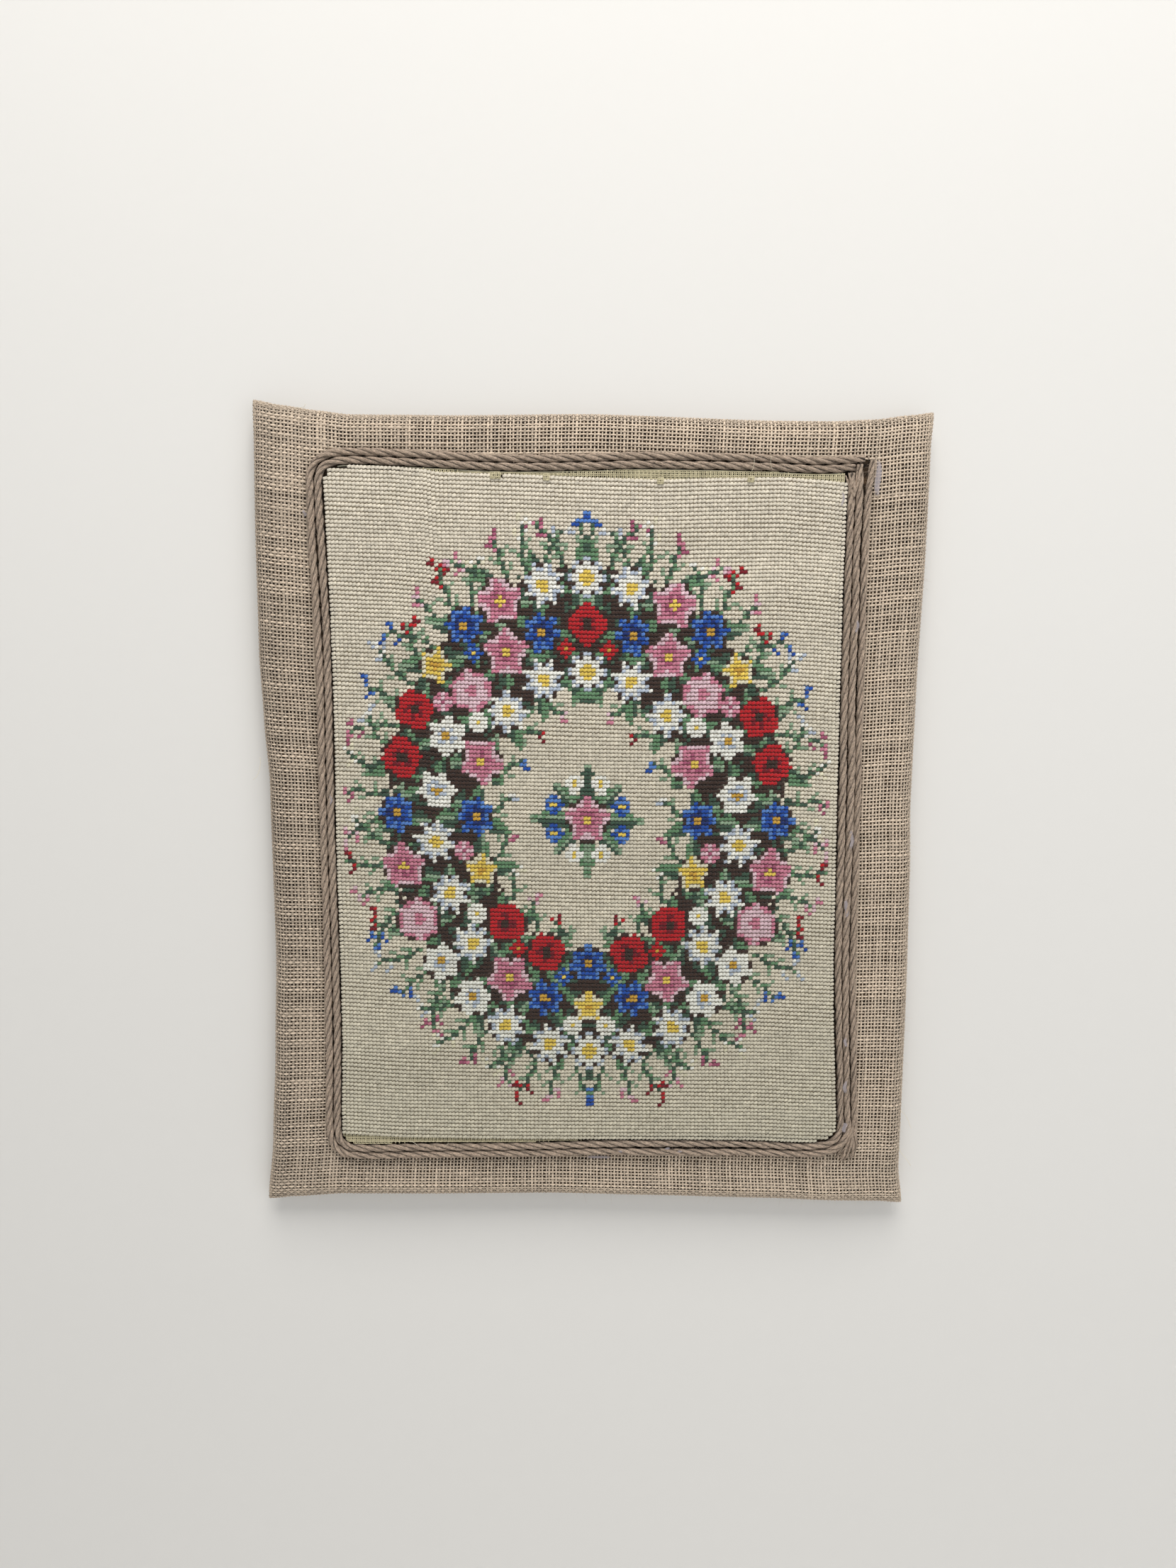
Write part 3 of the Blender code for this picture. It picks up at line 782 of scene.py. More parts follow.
def hairTubes(roots, outward, chance):
    # Fine stray fibres: each leaves its root outwards and curls over
    count = len(roots)
    length = chance.uniform(*hairs["reach"], count)[:, None, None]
    way = unit(outward + chance.standard_normal((count, 3)) * hairs["stray"])
    curl = unit(chance.standard_normal((count, 3)) + (0, 0, -hairs["droop"])) * hairs["curl"]
    t = np.linspace(0, 1, 5)[None, :, None]
    centres = roots[:, None] + way[:, None] * t * length + curl[:, None] * t ** 2 * length
    centres[..., 1] = np.minimum(centres[..., 1], roots[:, None, 1] + hairs["behind"])
    front = np.broadcast_to(unit(np.cross(way, curl))[:, None], centres.shape)
    thick = hairs["radius"] * np.broadcast_to(np.linspace(1, 0.5, 5), (count, 5))
    return tubes(centres, front, thick, thick, roundProfile(3), tone=chance.random(count))


def makeRopeHairs(lines, material, chance):
    parts = []
    for line in lines.values():
        picks = chance.integers(0, len(line), int(len(line) * rope["step"] / hairs["perRope"]))
        kept = chance.random(len(picks)) < hairs["keptShare"]
        picks = picks[(line[picks, 0] > rope["looseFrom"]) | kept]
        x, z, radius = line[picks].T
        angle = chance.uniform(0, math.pi, len(picks))
        alongX, alongZ = unit(np.gradient(line[:, :2], axis=0))[picks].T
        outward = np.stack([alongZ * np.cos(angle), -np.sin(angle), -alongX * np.cos(angle)], axis=1)
        roots = onPanel(x, z, rope["fitGap"] + radius) + outward * radius[:, None] * 0.9
        parts.append(hairTubes(roots, outward, chance))
    addPiece("rope_hairs", joined(parts), material)


def makeBurlapHairs(material, chance):  # stray fibres round the edge of the cloth and over its face
    count = hairs["count"]
    shares = [chance.random(count), chance.random(count)]
    nearSide = chance.random(count) < hairs["sideShare"]
    pick = chance.integers(0, 4, count)
    for side in range(4):
        band = chance.uniform(*hairs["sideBands"][side % 2], count)
        shares[side // 2] = np.where(nearSide & (pick == side), band, shares[side // 2])
    u, v = shares
    roots = panelFront(u, v)
    x, z = roots[:, 0], roots[:, 2]
    left, right, low, high = hairs["framed"]
    clear = (x < left) | (x > right) | (z > high) | (z < low)
    roots, u, v = roots[clear], u[clear], v[clear]
    sideways = (u > 0.97) * hairs["outward"] - (u < 0.03) * hairs["outward"]
    upwards = (v < 0.03) * hairs["outward"] - (v > 0.97) * hairs["outward"]
    outward = np.stack([sideways, -1 + 0 * u, upwards], axis=1)
    addPiece("burlap_hairs", hairTubes(roots, outward, chance), material)


def makeRopes(lines, material):
    chance = np.random.default_rng(rope["seed"])
    for name, line in lines.items():
        makeRope(name, line, material, chance)
    makeFray(material, chance)
    makeRopeHairs(lines, material, chance)


# The picture: a charted wreath of garden flowers, mirrored left to right

yarnColours = {
    "ground": (226, 216, 197), "white": (244, 242, 234), "ivory": (232, 224, 198), "yellow": (236, 204, 92),
    "gold": (206, 160, 62), "red": (190, 28, 36), "wine": (122, 22, 34), "pink": (208, 130, 152),
    "rose": (168, 88, 116), "blush": (230, 196, 206), "blue": (30, 78, 168), "navy": (22, 44, 108),
    "sky": (88, 132, 204), "mist": (186, 196, 212), "leaf": (104, 142, 106), "sage": (146, 170, 142),
    "pine": (64, 88, 72), "earth": (62, 44, 36),
}
flowerKinds = {  # colours run from the heart outwards; cut is how deep the petals part
    "daisy": {
        "reach": 5.6, "petals": 8, "cut": 0.36, "heart": 1.6,
        "colours": ("yellow", "white", "white", "mist"),
    },
    "poppy": {
        "reach": 5.2, "petals": 4, "cut": 0.16, "heart": 1.2, "colours": ("earth", "wine", "red", "red"),
    },
    "aster": {
        "reach": 5.0, "petals": 7, "cut": 0.30, "heart": 1.2, "colours": ("gold", "navy", "blue", "sky"),
    },
    "dogRose": {
        "reach": 6.0, "petals": 5, "cut": 0.24, "heart": 1.2,
        "colours": ("yellow", "rose", "pink", "blush"),
    },
    "camellia": {
        "reach": 5.6, "petals": 6, "cut": 0.12, "heart": 1.4, "colours": ("pink", "blush", "blush", "pink"),
    },
    "primrose": {
        "reach": 4.6, "petals": 5, "cut": 0.30, "heart": 1.1,
        "colours": ("gold", "yellow", "yellow", "ivory"),
    },
    "anemone": {
        "reach": 5.2, "petals": 6, "cut": 0.26, "heart": 1.1, "colours": ("gold", "mist", "white", "white"),
    },
    "pip": {
        "reach": 2.7, "petals": 4, "cut": 0.20, "heart": 0.8,
        "colours": ("yellow", "white", "white", "white"),
    },
    "bluePip": {
        "reach": 2.5, "petals": 4, "cut": 0.20, "heart": 0.8, "colours": ("yellow", "sky", "blue", "blue"),
    },
    "pinkPip": {
        "reach": 2.7, "petals": 4, "cut": 0.20, "heart": 0.8, "colours": ("rose", "pink", "blush", "pink"),
    },
    "redPip": {
        "reach": 2.4, "petals": 4, "cut": 0.20, "heart": 0.8, "colours": ("gold", "red", "red", "red"),
    },
}
picture = {
    "columns": 132, "rows": 168, "middle": (65.5, 83.5), "seed": 21,
    # Rounds of the wreath, from the outside. Columns: half width, half height, flowers in half a round
    "rounds": ((50.0, 60.0, 15), (40.0, 48.5, 12), (30.0, 37.0, 9)),
    "order": (
        "daisy", "dogRose", "aster", "anemone", "poppy", "daisy", "camellia", "primrose", "daisy",
        "aster", "dogRose", "anemone", "poppy",
    ),
    "fillers": ("pip", "bluePip", "pip", "pinkPip", "redPip"), "fillerTries": 900,
    "outerSprays": 17, "innerSprays": 9,
    "florets": (
        ("white", "mist"), ("pink", "rose"), ("white", "ivory"), ("blush", "pink"), ("red", "wine"),
        ("sky", "blue"),
    ),
    # Sprays: how far leaflets lean from the stem, and the share of the stem that bears leaves
    "leafletLean": 0.85, "leafyShare": 0.55,
}


def dab(chart, column, row, colour):  # one stitch, where it isn't in the plain border
    column, row = int(math.floor(column + 0.5)), int(math.floor(row + 0.5))
    if 2 <= column < picture["columns"] - 2 and 2 <= row < picture["rows"] - 2:
        chart[row, column] = colour


def chartFlower(chart, column, row, kind, turn):
    look = flowerKinds[kind]
    heart, inner, petal, rim = look["colours"]
    left, top, wide = math.floor(column) - 8, math.floor(row) - 8, 18  # a square round the whole flower
    for y in range(top, top + wide):
        for x in range(left, left + wide):
            reach = math.hypot(x - column, y - row)
            angle = math.atan2(y - row, x - column) + turn
            lobe = 0.5 - 0.5 * math.cos(look["petals"] * angle)  # 0 in the middle of a petal, 1 between two
            edge = look["reach"] * (1 - look["cut"] * lobe)
            if reach <= look["heart"]:
                dab(chart, x, y, heart)
            elif reach <= edge:
                nearHeart = reach < look["heart"] + 1.3 and lobe > 0.3
                nearRim = reach > edge - 1.2 and lobe > 0.12
                dab(chart, x, y, inner if nearHeart else rim if nearRim else petal)
            elif reach <= edge + 0.9 and lobe > 0.55 and look["reach"] > 4:
                dab(chart, x, y, "earth")


def chartLeaf(chart, column, row, heading, length, tones):  # pointed, with a lighter rib
    for step in np.arange(0, length, 0.5):
        width = 1.7 * math.sin(math.pi * (step / length) ** 0.8)
        for side in np.arange(-width, width + 0.1, 0.5):
            x = column + math.cos(heading) * step - math.sin(heading) * side
            y = row + math.sin(heading) * step + math.cos(heading) * side
            dab(chart, x, y, tones[0] if abs(side) < 0.4 else tones[1 if side < 0 else 2])


def chartSpray(chart, column, row, heading, length, florets, curl):
    # A bending stem with pairs of leaflets, then small florets up to its tip
    x, y = column, row
    for step in range(length):
        heading += curl
        x += math.cos(heading)
        y += math.sin(heading)
        dab(chart, x, y, "pine" if step % 3 else "leaf")
        if step % 2 or step < 2:
            continue
        lean = heading + picture["leafletLean"] * (1 if step % 4 < 2 else -1)
        leafy = step < length * picture["leafyShare"]
        for reach, leaf in ((1, "leaf"), (2, "sage"), (3, "sage")):
            farX, farY = x + math.cos(lean) * reach, y + math.sin(lean) * reach
            dab(chart, farX, farY, leaf if leafy else florets[reach > 1])
            if not leafy and reach == 2:
                dab(chart, farX, farY - 1, florets[0])
    dab(chart, x + math.cos(heading), y + math.sin(heading), florets[0])


def onOval(width, height, angle):
    middleColumn, middleRow = picture["middle"]
    return middleColumn + width * math.cos(angle), middleRow + height * math.sin(angle)


def chartBackground(chart, chance):  # dark stitches behind the flowers
    outerWidth, outerHeight, _ = picture["rounds"][0]
    innerWidth, innerHeight, _ = picture["rounds"][-1]
    for row in range(picture["rows"]):
        for column in range(picture["columns"]):
            across, down = column - picture["middle"][0], row - picture["middle"][1]
            outside = math.hypot(across / (outerWidth + 2), down / (outerHeight + 2))
            inside = math.hypot(across / (innerWidth - 2), down / (innerHeight - 2))
            clump = math.sin(column * 0.9 + 1) * math.sin(row * 0.8 + 2) + chance.normal(0, 0.4)
            if outside < 1 + 0.03 * clump and inside > 1 + 0.05 * clump:
                dab(chart, column, row, "earth" if clump < 0.75 else "pine")


def halfTurn(share):  # an angle down the right half, from the top at 0 to the foot at 1
    return -math.pi / 2 + math.pi * share


def chartSprays(chart):  # sprays that stand out of the wreath, and smaller ones inside it
    florets = picture["florets"]
    width, height, _ = picture["rounds"][0]
    for n in range(picture["outerSprays"]):
        angle = halfTurn((n + 0.5) / picture["outerSprays"])
        for lean, length in ((-0.45, 11), (0.15, 13)):
            place = onOval(width + 2, height + 2, angle + lean * 0.12)
            tones = florets[(n + length) % len(florets)]
            chartSpray(chart, *place, angle + lean, length, tones, 0.05 * (-1) ** n)
    width, height, _ = picture["rounds"][-1]
    for n in range(picture["innerSprays"]):
        angle = halfTurn((n + 0.5) / picture["innerSprays"])
        place = onOval(width - 3, height - 3, angle)
        tones = florets[(n + 2) % len(florets)]
        chartSpray(chart, *place, angle + math.pi + 0.4, 8, tones, 0.06)


def chartFlowers(chart, chance):  # the rounds of flowers over their leaves
    flowers = []
    for ring, (width, height, count) in enumerate(picture["rounds"]):
        for n in range(count):
            # The first and last flower of a round stand on the mirror line
            angle = halfTurn(n / (count - 1))
            column, row = onOval(width, height, angle)
            if 0 < n < count - 1:
                column, row = column + chance.uniform(-0.7, 0.7), row + chance.uniform(-0.7, 0.7)
            kind = picture["order"][(n * 5 + ring * 4) % len(picture["order"])]
            flowers.append((column, row, kind, angle))
    for column, row, _, angle in flowers:
        for lean in (0.5, 2.6, 4.4):
            tones = (("sage", "leaf", "pine"), ("leaf", "pine", "leaf"))[chance.integers(0, 2)]
            heading = angle + lean + chance.uniform(-0.4, 0.4)
            chartLeaf(chart, column, row, heading, chance.uniform(7, 10.5), tones)
    for column, row, kind, angle in flowers:
        chartFlower(chart, column, row, kind, math.pi / 2 if column == picture["middle"][0] else angle)
    return [(column, row, flowerKinds[kind]["reach"]) for column, row, kind, _ in flowers]


def chartFillers(chart, placed, chance):  # small flowers where there is room between the large ones
    outerWidth, outerHeight, _ = picture["rounds"][0]
    innerWidth, innerHeight, _ = picture["rounds"][-1]
    for _ in range(picture["fillerTries"]):
        angle, share = chance.uniform(-math.pi / 2, math.pi / 2), chance.uniform(-0.15, 1.12)
        width = innerWidth + (outerWidth - innerWidth) * share
        height = innerHeight + (outerHeight - innerHeight) * share
        column, row = (round(value) for value in onOval(width, height, angle))
        kind = picture["fillers"][len(placed) % len(picture["fillers"])]
        clear = flowerKinds[kind]["reach"] * 0.75
        if column > picture["middle"][0] + 2 and all(
            math.hypot(column - x, row - y) > reach + clear for x, y, reach in placed
        ):
            chartFlower(chart, column, row, kind, 0.0)
            placed.append((column, row, flowerKinds[kind]["reach"]))


def chartRosette(chart):  # leaves and small flowers in the open middle
    for turn in range(8):
        length = 12.5 if turn % 2 else 15.0
        chartLeaf(chart, *picture["middle"], math.pi / 4 * turn, length, ("sage", "leaf", "pine"))
    for turn in range(8):
        place = onOval(9.5, 9.5, math.pi / 4 * (turn + 0.5))
        chartFlower(chart, *place, "bluePip" if turn % 4 in (0, 3) else "pip", 0.0)
    chartFlower(chart, *picture["middle"], "dogRose", math.pi / 2)


def chartWreath():
    # Drawn on the whole chart, then the right half is repeated on the left in mirror image
    chart = np.full((picture["rows"], picture["columns"]), "ground", dtype="U8")
    chance = np.random.default_rng(picture["seed"])
    chartSprays(chart)
    chartBackground(chart, chance)
    placed = chartFlowers(chart, chance)
    chartFillers(chart, placed, chance)
    chartRosette(chart)
    half = picture["columns"] // 2
    chart[:, :half] = chart[:, :half - 1:-1]
    print(f"wreath: {np.sum(chart != 'ground')} coloured stitches")
    return chart


# The stitched canvas

stitching = {
    "halfAcross": 1.52, "halfUp": 0.54, "ringShare": 0.66, "halfWidth": 1.04, "halfHeight": 0.56,
    "tip": 0.60, "dive": 0.25, "profile": (0.0, 55.0, 125.0, 180.0), "lift": 4.62, "bedLift": 4.56,
    # The grooves keep this share of the wool colour in red, green and blue, as painted shade between the
    # stitches
    "paintedShade": (0.36, 0.33, 0.28), "rowPitch": 2.5, "seed": 9, "bands": 4,
    # The field ends short of the middle of the inner rope, and falls off in a round edge before it
    "ropeGap": 3.65, "leastEdge": 0.30, "freeEdge": 0.1, "edgeRound": 2.6, "edgeLead": 0.4, "edgeDrop": 2.2,
    # Rows and columns drift and bunch. Columns: size, waves across, waves down, start
    "rowDrift": ((0.40, 6.6, 52.0, 0.0), (0.08, 22.0, 151.0, 0.0), (0.22, 5.0, 0.0, 1.0)),
    "columnDrift": ((0.25, 53.0, 18.0, 0.0),),
    # How one stitch differs from the next
    "uneven": {
        "across": 0.07, "down": 0.06, "lean": 0.06, "length": 0.04, "rise": 0.05, "width": 0.05,
        "height": 0.08, "lift": 0.05, "colour": 0.035,
    },
    # Level of the wool colours, the painted shade that darkens them down to the foot, its waves, and the
    # share lost at the foot in red, green and blue
    "level": 0.95, "paintedFootShade": 0.21, "levelWave": 0.02, "dyeLots": 0.012, "footLoss": (0.02, 0.0, 0.05),
    "dyeSeed": 3,
    # Stitches missing from the top edge. Columns: X from, X to, rows missing
    "notches": ((-63.0, -57.0, 1), (-31.0, -28.5, 1), (38.0, 40.5, 1), (93.0, 95.5, 1)),
    # A first guess of the top and height, then the edges. Columns: Z, X at the left and right, and
    # X, Z at the top and bottom
    "firstTop": -33.0, "firstHeight": 424.0,
    "left": (
        (-458.0, -158.6), (-446.0, -158.4), (-394.0, -157.7), (-324.0, -158.3), (-235.0, -159.6),
        (-160.0, -160.0), (-125.0, -160.8), (-85.0, -162.5), (-44.0, -164.1), (-30.0, -164.4),
    ),
    "right": (
        (-460.0, 160.8), (-439.0, 160.4), (-400.0, 158.4), (-364.0, 156.4), (-324.0, 154.9),
        (-260.0, 154.4), (-215.0, 153.8), (-170.0, 152.9), (-115.0, 153.0), (-75.0, 153.3),
        (-30.0, 153.5),
    ),
    "top": (
        (-170.0, -30.7), (-125.1, -31.7), (-105.1, -33.0), (-95.2, -34.7), (-55.3, -35.4), (4.4, -36.9),
        (39.3, -37.4), (79.1, -36.0), (114.0, -35.1), (133.9, -36.2), (160.0, -38.4),
    ),
    "bottom": (
        (-165.0, -452.5), (-115.1, -455.0), (-55.3, -455.7), (-15.5, -455.9), (64.0, -456.2),
        (104.0, -456.5), (143.8, -458.0), (170.0, -459.0),
    ),
    "yarn": {
        "roughness": 0.95, "sheen": 0.15, "turns": 0.22, "radius": 0.9, "fibre": 4.0, "ply": 0.7,
        "cloudScale": 9.0, "cloud": 0.16, "spread": 0.18, "streak": 0.6, "bump": 1.0, "relief": 0.45,
    },
}


def waveSum(a, b, waves):
    return sum(size * np.sin(a * across + b * down + start) for size, across, down, start in waves)


def stitchPlaces(across, down):  # x and z at shares of the stitched area, mapped between its four edges
    a, b = np.meshgrid(across, down)
    z = stitching["firstTop"] - stitching["firstHeight"] * b
    for _ in range(2):
        x = tableAt(stitching["left"], z) * (1 - a) + tableAt(stitching["right"], z) * a
        z = tableAt(stitching["top"], x) * (1 - b) + tableAt(stitching["bottom"], x) * b
    free = np.clip(16 * b * (1 - b), 0, 1)  # the top and bottom rows are held
    return x + waveSum(a, b, stitching["columnDrift"]), z + free * waveSum(a, b, stitching["rowDrift"])


def outsideDistance(x, z, line):  # distance beyond a round of rope, negative inside it
    outward = unit(np.gradient(line[:, :2], axis=0))[::2] @ np.array([[0.0, -1.0], [1.0, 0.0]])
    spots, line = np.stack([x.ravel(), z.ravel()], axis=1), line[::2, :2]
    made = np.zeros(len(spots))
    for start in range(0, len(spots), 4000):
        gap = spots[start:start + 4000, None] - line[None]
        reach = np.hypot(gap[..., 0], gap[..., 1])
        nearest = reach.argmin(axis=1)
        pick = np.arange(len(nearest)), nearest
        made[start:start + 4000] = reach[pick] * np.sign((gap[pick] * outward[nearest]).sum(axis=1))
    return made.reshape(x.shape)


def edgeDistance(x, z, inner):  # how far a stitch lies inside the rope frame
    return -outsideDistance(x, z, inner) - stitching["ropeGap"]


def borderDistance(x, z, down, inner):  # the same, with the free top and bottom edges
    free = np.minimum(down, 1 - down)[:, None] * picture["rows"] * stitching["rowPitch"]
    return np.minimum(edgeDistance(x, z, inner), free + stitching["freeEdge"])


def edgeFall(edge):  # how far the field has fallen off at a distance from its edge
    return stitching["edgeDrop"] * (1 - shoulder(edge + stitching["edgeLead"], stitching["edgeRound"]))


def notched(x, row):  # the places in the top rows that have no stitch
    missing = np.zeros(np.broadcast(x, row).shape, bool)
    for first, last, depth in stitching["notches"]:
        missing |= (x > first) & (x < last) & (row < depth)
    return missing


def makeGrooveShade(colour, inner, material):
    # A thin layer at the foot of the stitches in painted shade: a darkened, warmer copy of the wool beside it
    columns, rows = picture["columns"], picture["rows"]
    across, down = np.linspace(0, 1, columns + 1), np.linspace(0, 1, rows + 1)
    x, z = stitchPlaces(across, down)
    edge = borderDistance(x, z, down, inner)
    shades = np.pad(colour, ((0, 1), (0, 1), (0, 0)), mode="edge") * stitching["paintedShade"]
    faces = squares(np.arange(x.size).reshape(x.shape))
    whole = (edge.ravel()[faces] > 0).all(axis=-1)
    whole &= ~notched((x[:-1, :-1] + x[1:, 1:]) / 2, np.arange(rows)[:, None])
    part = trimmed({
        "points": onPanel(x, z, stitching["bedLift"] - edgeFall(edge)).reshape(-1, 3),
        "faces": faces[whole],
        "place": np.stack([x, z, 0 * x], axis=-1).reshape(-1, 3),
        "tone": np.full(x.size, 0.5),
        "colour": shades.reshape(-1, 3),
    })
    return addPiece("stitch_groove_shade", part, material)


def woolColours(chart):  # the charted colours, with dye lots and a darker, yellower foot
    chance = np.random.default_rng(stitching["dyeSeed"])
    rows, columns = chart.shape
    palette = {name: linear(value) for name, value in yarnColours.items()}
    colour = np.array([palette[name] for name in chart.ravel()]).reshape(rows, columns, 3)
    column, row = np.meshgrid(np.arange(columns) / columns, np.arange(rows) / rows)
    # Painted shade, darker towards the foot
    level = stitching["level"] - stitching["paintedFootShade"] * row
    level = level + stitching["levelWave"] * np.sin(row * 40 + column * 3)
    level = level + chance.normal(0, stitching["dyeLots"], (rows, 1))
    return colour * level[..., None] * (1 - row[..., None] * np.array(stitching["footLoss"]))


def makeStitches(colour, inner, material):
    chance = np.random.default_rng(stitching["seed"])
    uneven = stitching["uneven"]
    rows, columns = colour.shape[:2]
    across, down = (np.arange(columns) + 0.5) / columns, (np.arange(rows) + 0.5) / rows
    x, z = stitchPlaces(across, down)
    edge = borderDistance(x, z, down, inner)
    x = x + chance.normal(0, uneven["across"], x.shape)
    z = z + chance.normal(0, uneven["down"], x.shape)
    kept = (edge > stitching["leastEdge"]) & ~notched(x, np.arange(rows)[:, None])
    row = np.repeat(np.arange(rows), columns).reshape(rows, columns)[kept]
    x, z, edge, colour = x[kept], z[kept], edge[kept], colour[kept]
    count = len(x)
    colour = colour * (1 + chance.normal(0, uneven["colour"], (count, 1)))
    lift = stitching["lift"] - edgeFall(edge) + chance.normal(0, uneven["lift"], count)
    lean = chance.normal(0, uneven["lean"], count)
    way = np.stack([
        stitching["halfAcross"] * (1 + chance.normal(0, uneven["length"], count) + lean), 0 * lean,
        stitching["halfUp"] * (1 + chance.normal(0, uneven["rise"], count) - lean),
    ], axis=1)
    share = np.array([-1, 1])[None, :, None] * stitching["ringShare"]
    centres = onPanel(x, z, lift)[:, None] + way[:, None] * share
    width = stitching["halfWidth"] * (1 + chance.normal(0, uneven["width"], (count, 2)))
    height = stitching["halfHeight"] * (1 + chance.normal(0, uneven["height"], (count, 2)))
    part = tubes(
        centres, facingFront(centres), width, height, stitching["profile"], tips=stitching["tip"],
        start=chance.uniform(0, 300, count), tone=chance.random(count), colour=colour,
    )
    size = len(part["points"]) // count
    pattern = part["faces"][:len(part["faces"]) // count]
    shaped = {key: part[key].reshape(count, size, -1) for key in ("points", "place", "colour", "tone")}
    shaped["points"][:, (0, -1), 1] += stitching["dive"]  # the tips go down into the holes of the canvas
    pieces = []
    cuts = np.linspace(0, rows, stitching["bands"] + 1)
    for band, (first, last) in enumerate(zip(cuts, cuts[1:])):
        picked = np.flatnonzero((row >= first) & (row < last))
        chosen = {key: shaped[key][picked].reshape(len(picked) * size, -1) for key in shaped}
        chosen["tone"] = chosen["tone"].ravel()
        chosen["faces"] = (pattern[None] + size * np.arange(len(picked))[:, None, None]).reshape(-1, 3)
        pieces.append(addPiece(f"stitches_{band + 1}", chosen, material))
    return pieces


canvas = {
    # Threads run in pairs, so that large and small holes take turns
    "pairPitch": 2.45, "pairHalf": 0.50, "halfWidth": 0.36, "halfHeight": 0.20, "wave": 0.16, "dull": 0.0,
    "profile": (-15.0, 55.0, 125.0, 195.0), "seed": 4,
    "lift": 1.50, "notchLift": 4.35, "notchRow": 2.4, "notchSpare": 0.8, "underRope": -0.6,
    "yarn": {
        "colour": (190, 180, 148), "roughness": 0.9, "sheen": 0.05, "turns": 0.5, "radius": 0.4,
        "fibre": 5.0, "ply": 0.2, "cloudScale": 30.0, "cloud": 0.25, "spread": 0.2, "streak": 0.4,
        "bump": 0.6, "relief": 0.1,
    },
    # Painted shade: the dark sheet seen through the holes of the canvas, and the dark bed under the stitches
    "gapShadeColour": (36, 32, 24), "bedShadeColour": (40, 33, 26),
    # Columns: X at the left and right end, lowest and highest Z
    "strips": ((-106.0, 153.5, -40.0, -31.2), (-158.5, 14.0, -460.0, -451.0)),
    # The turned edge under the top rope, inside the middle of the inner rope
    "fold": {
        "colour": (214, 206, 178), "inset": 3.1, "lift": 1.75, "halfWidth": 0.42, "heightShare": 0.8,
        "left": -156.0, "right": 151.0, "lowest": -42.0,
    },
}


# A dark sheet in painted shade, mottled and lightly bumped
def makeShadeSheetMaterial(name, colour):
    material, tree, shader = newMaterial(name, 0.95)
    cloud = addGroup(tree, mottle, Scale=60.0, Amount=0.5)
    shade = mixed(tree, "MULTIPLY", 1.0, linear(colour), cloud.outputs["Tone"])
    tree.links.new(shade, shader.inputs["Base Color"])
    place = tree.nodes.new("ShaderNodeTexCoord")
    addBump(tree, shader, addNoise(tree, place.outputs["Object"], 900.0), 0.5, 0.3)
    return material


def pairedSteps(low, high):
    middles = np.arange(low, high, canvas["pairPitch"])
    return np.sort(np.concatenate([middles - canvas["pairHalf"], middles + canvas["pairHalf"]]))


def weavePatch(left, right, low, high, lift, inner, chance):  # bare canvas over one rectangle
    x, z = np.meshgrid(pairedSteps(left, right), pairedSteps(low, high), indexing="ij")
    grid = onPanel(x, z, lift)
    keep = edgeDistance(x, z, inner) > canvas["underRope"]
    look = dict(canvas, thick=np.ones(x.shape))
    down, across = weaveCloth(grid, grid, facingFront(grid), keep, look, chance)
    return down + across


def makeCanvas(inner, material):
    chance = np.random.default_rng(canvas["seed"])
    parts = []
    for left, right, low, high in canvas["strips"]:
        parts += weavePatch(left, right, low, high, canvas["lift"], inner, chance)
    for left, right, depth in stitching["notches"]:
        top = tableAt(stitching["top"], (left + right) / 2)
        low, high = top - canvas["notchRow"] * depth, top + canvas["notchSpare"]
        right = right + canvas["notchSpare"]
        parts += weavePatch(left, right, low, high, canvas["notchLift"], inner, chance)
    addPiece("canvas_threads", joined(parts), material)


def makeFold(inner, material):  # the turned edge of the canvas, a pale roll under the top rope
    fold = canvas["fold"]
    line = beside(inner[:, :2], np.full(len(inner), -fold["inset"]))
    x, z = line[(line[:, 1] > fold["lowest"]) & (line[:, 0] > fold["left"]) & (line[:, 0] < fold["right"])].T
    centres = onPanel(x, z, fold["lift"])[None]
    width = np.full((1, len(x)), fold["halfWidth"])
    roll = tubes(centres, facingFront(centres), width, width * fold["heightShare"], roundProfile(5))
    addPiece("canvas_fold", roll, material)


def makeNeedlepoint(lines):
    inner = lines["rope_inner"]
    cloth = makeShadeSheetMaterial("canvasHoleShade", canvas["gapShadeColour"])
    sheet = copyOfNode("ground_canvas", "canvas_shade_sheet", cloth)
    bed = copyOfNode("stitched_field", "stitch_bed_shade", makeShadeSheetMaterial("woolBedShade", canvas["bedShadeColour"]))
    makeCanvas(inner, yarnMaterial("canvasYarn", canvas["yarn"]))
    makeFold(inner, yarnMaterial("foldYarn", dict(canvas["yarn"], colour=canvas["fold"]["colour"])))
    colour = woolColours(chartWreath())
    wool = yarnMaterial("woolYarn", stitching["yarn"])
    grooves = makeGrooveShade(colour, inner, wool)
    stitches = makeStitches(colour, inner, wool)


# Traces of the making: glue that squeezed out, and a few loose threads

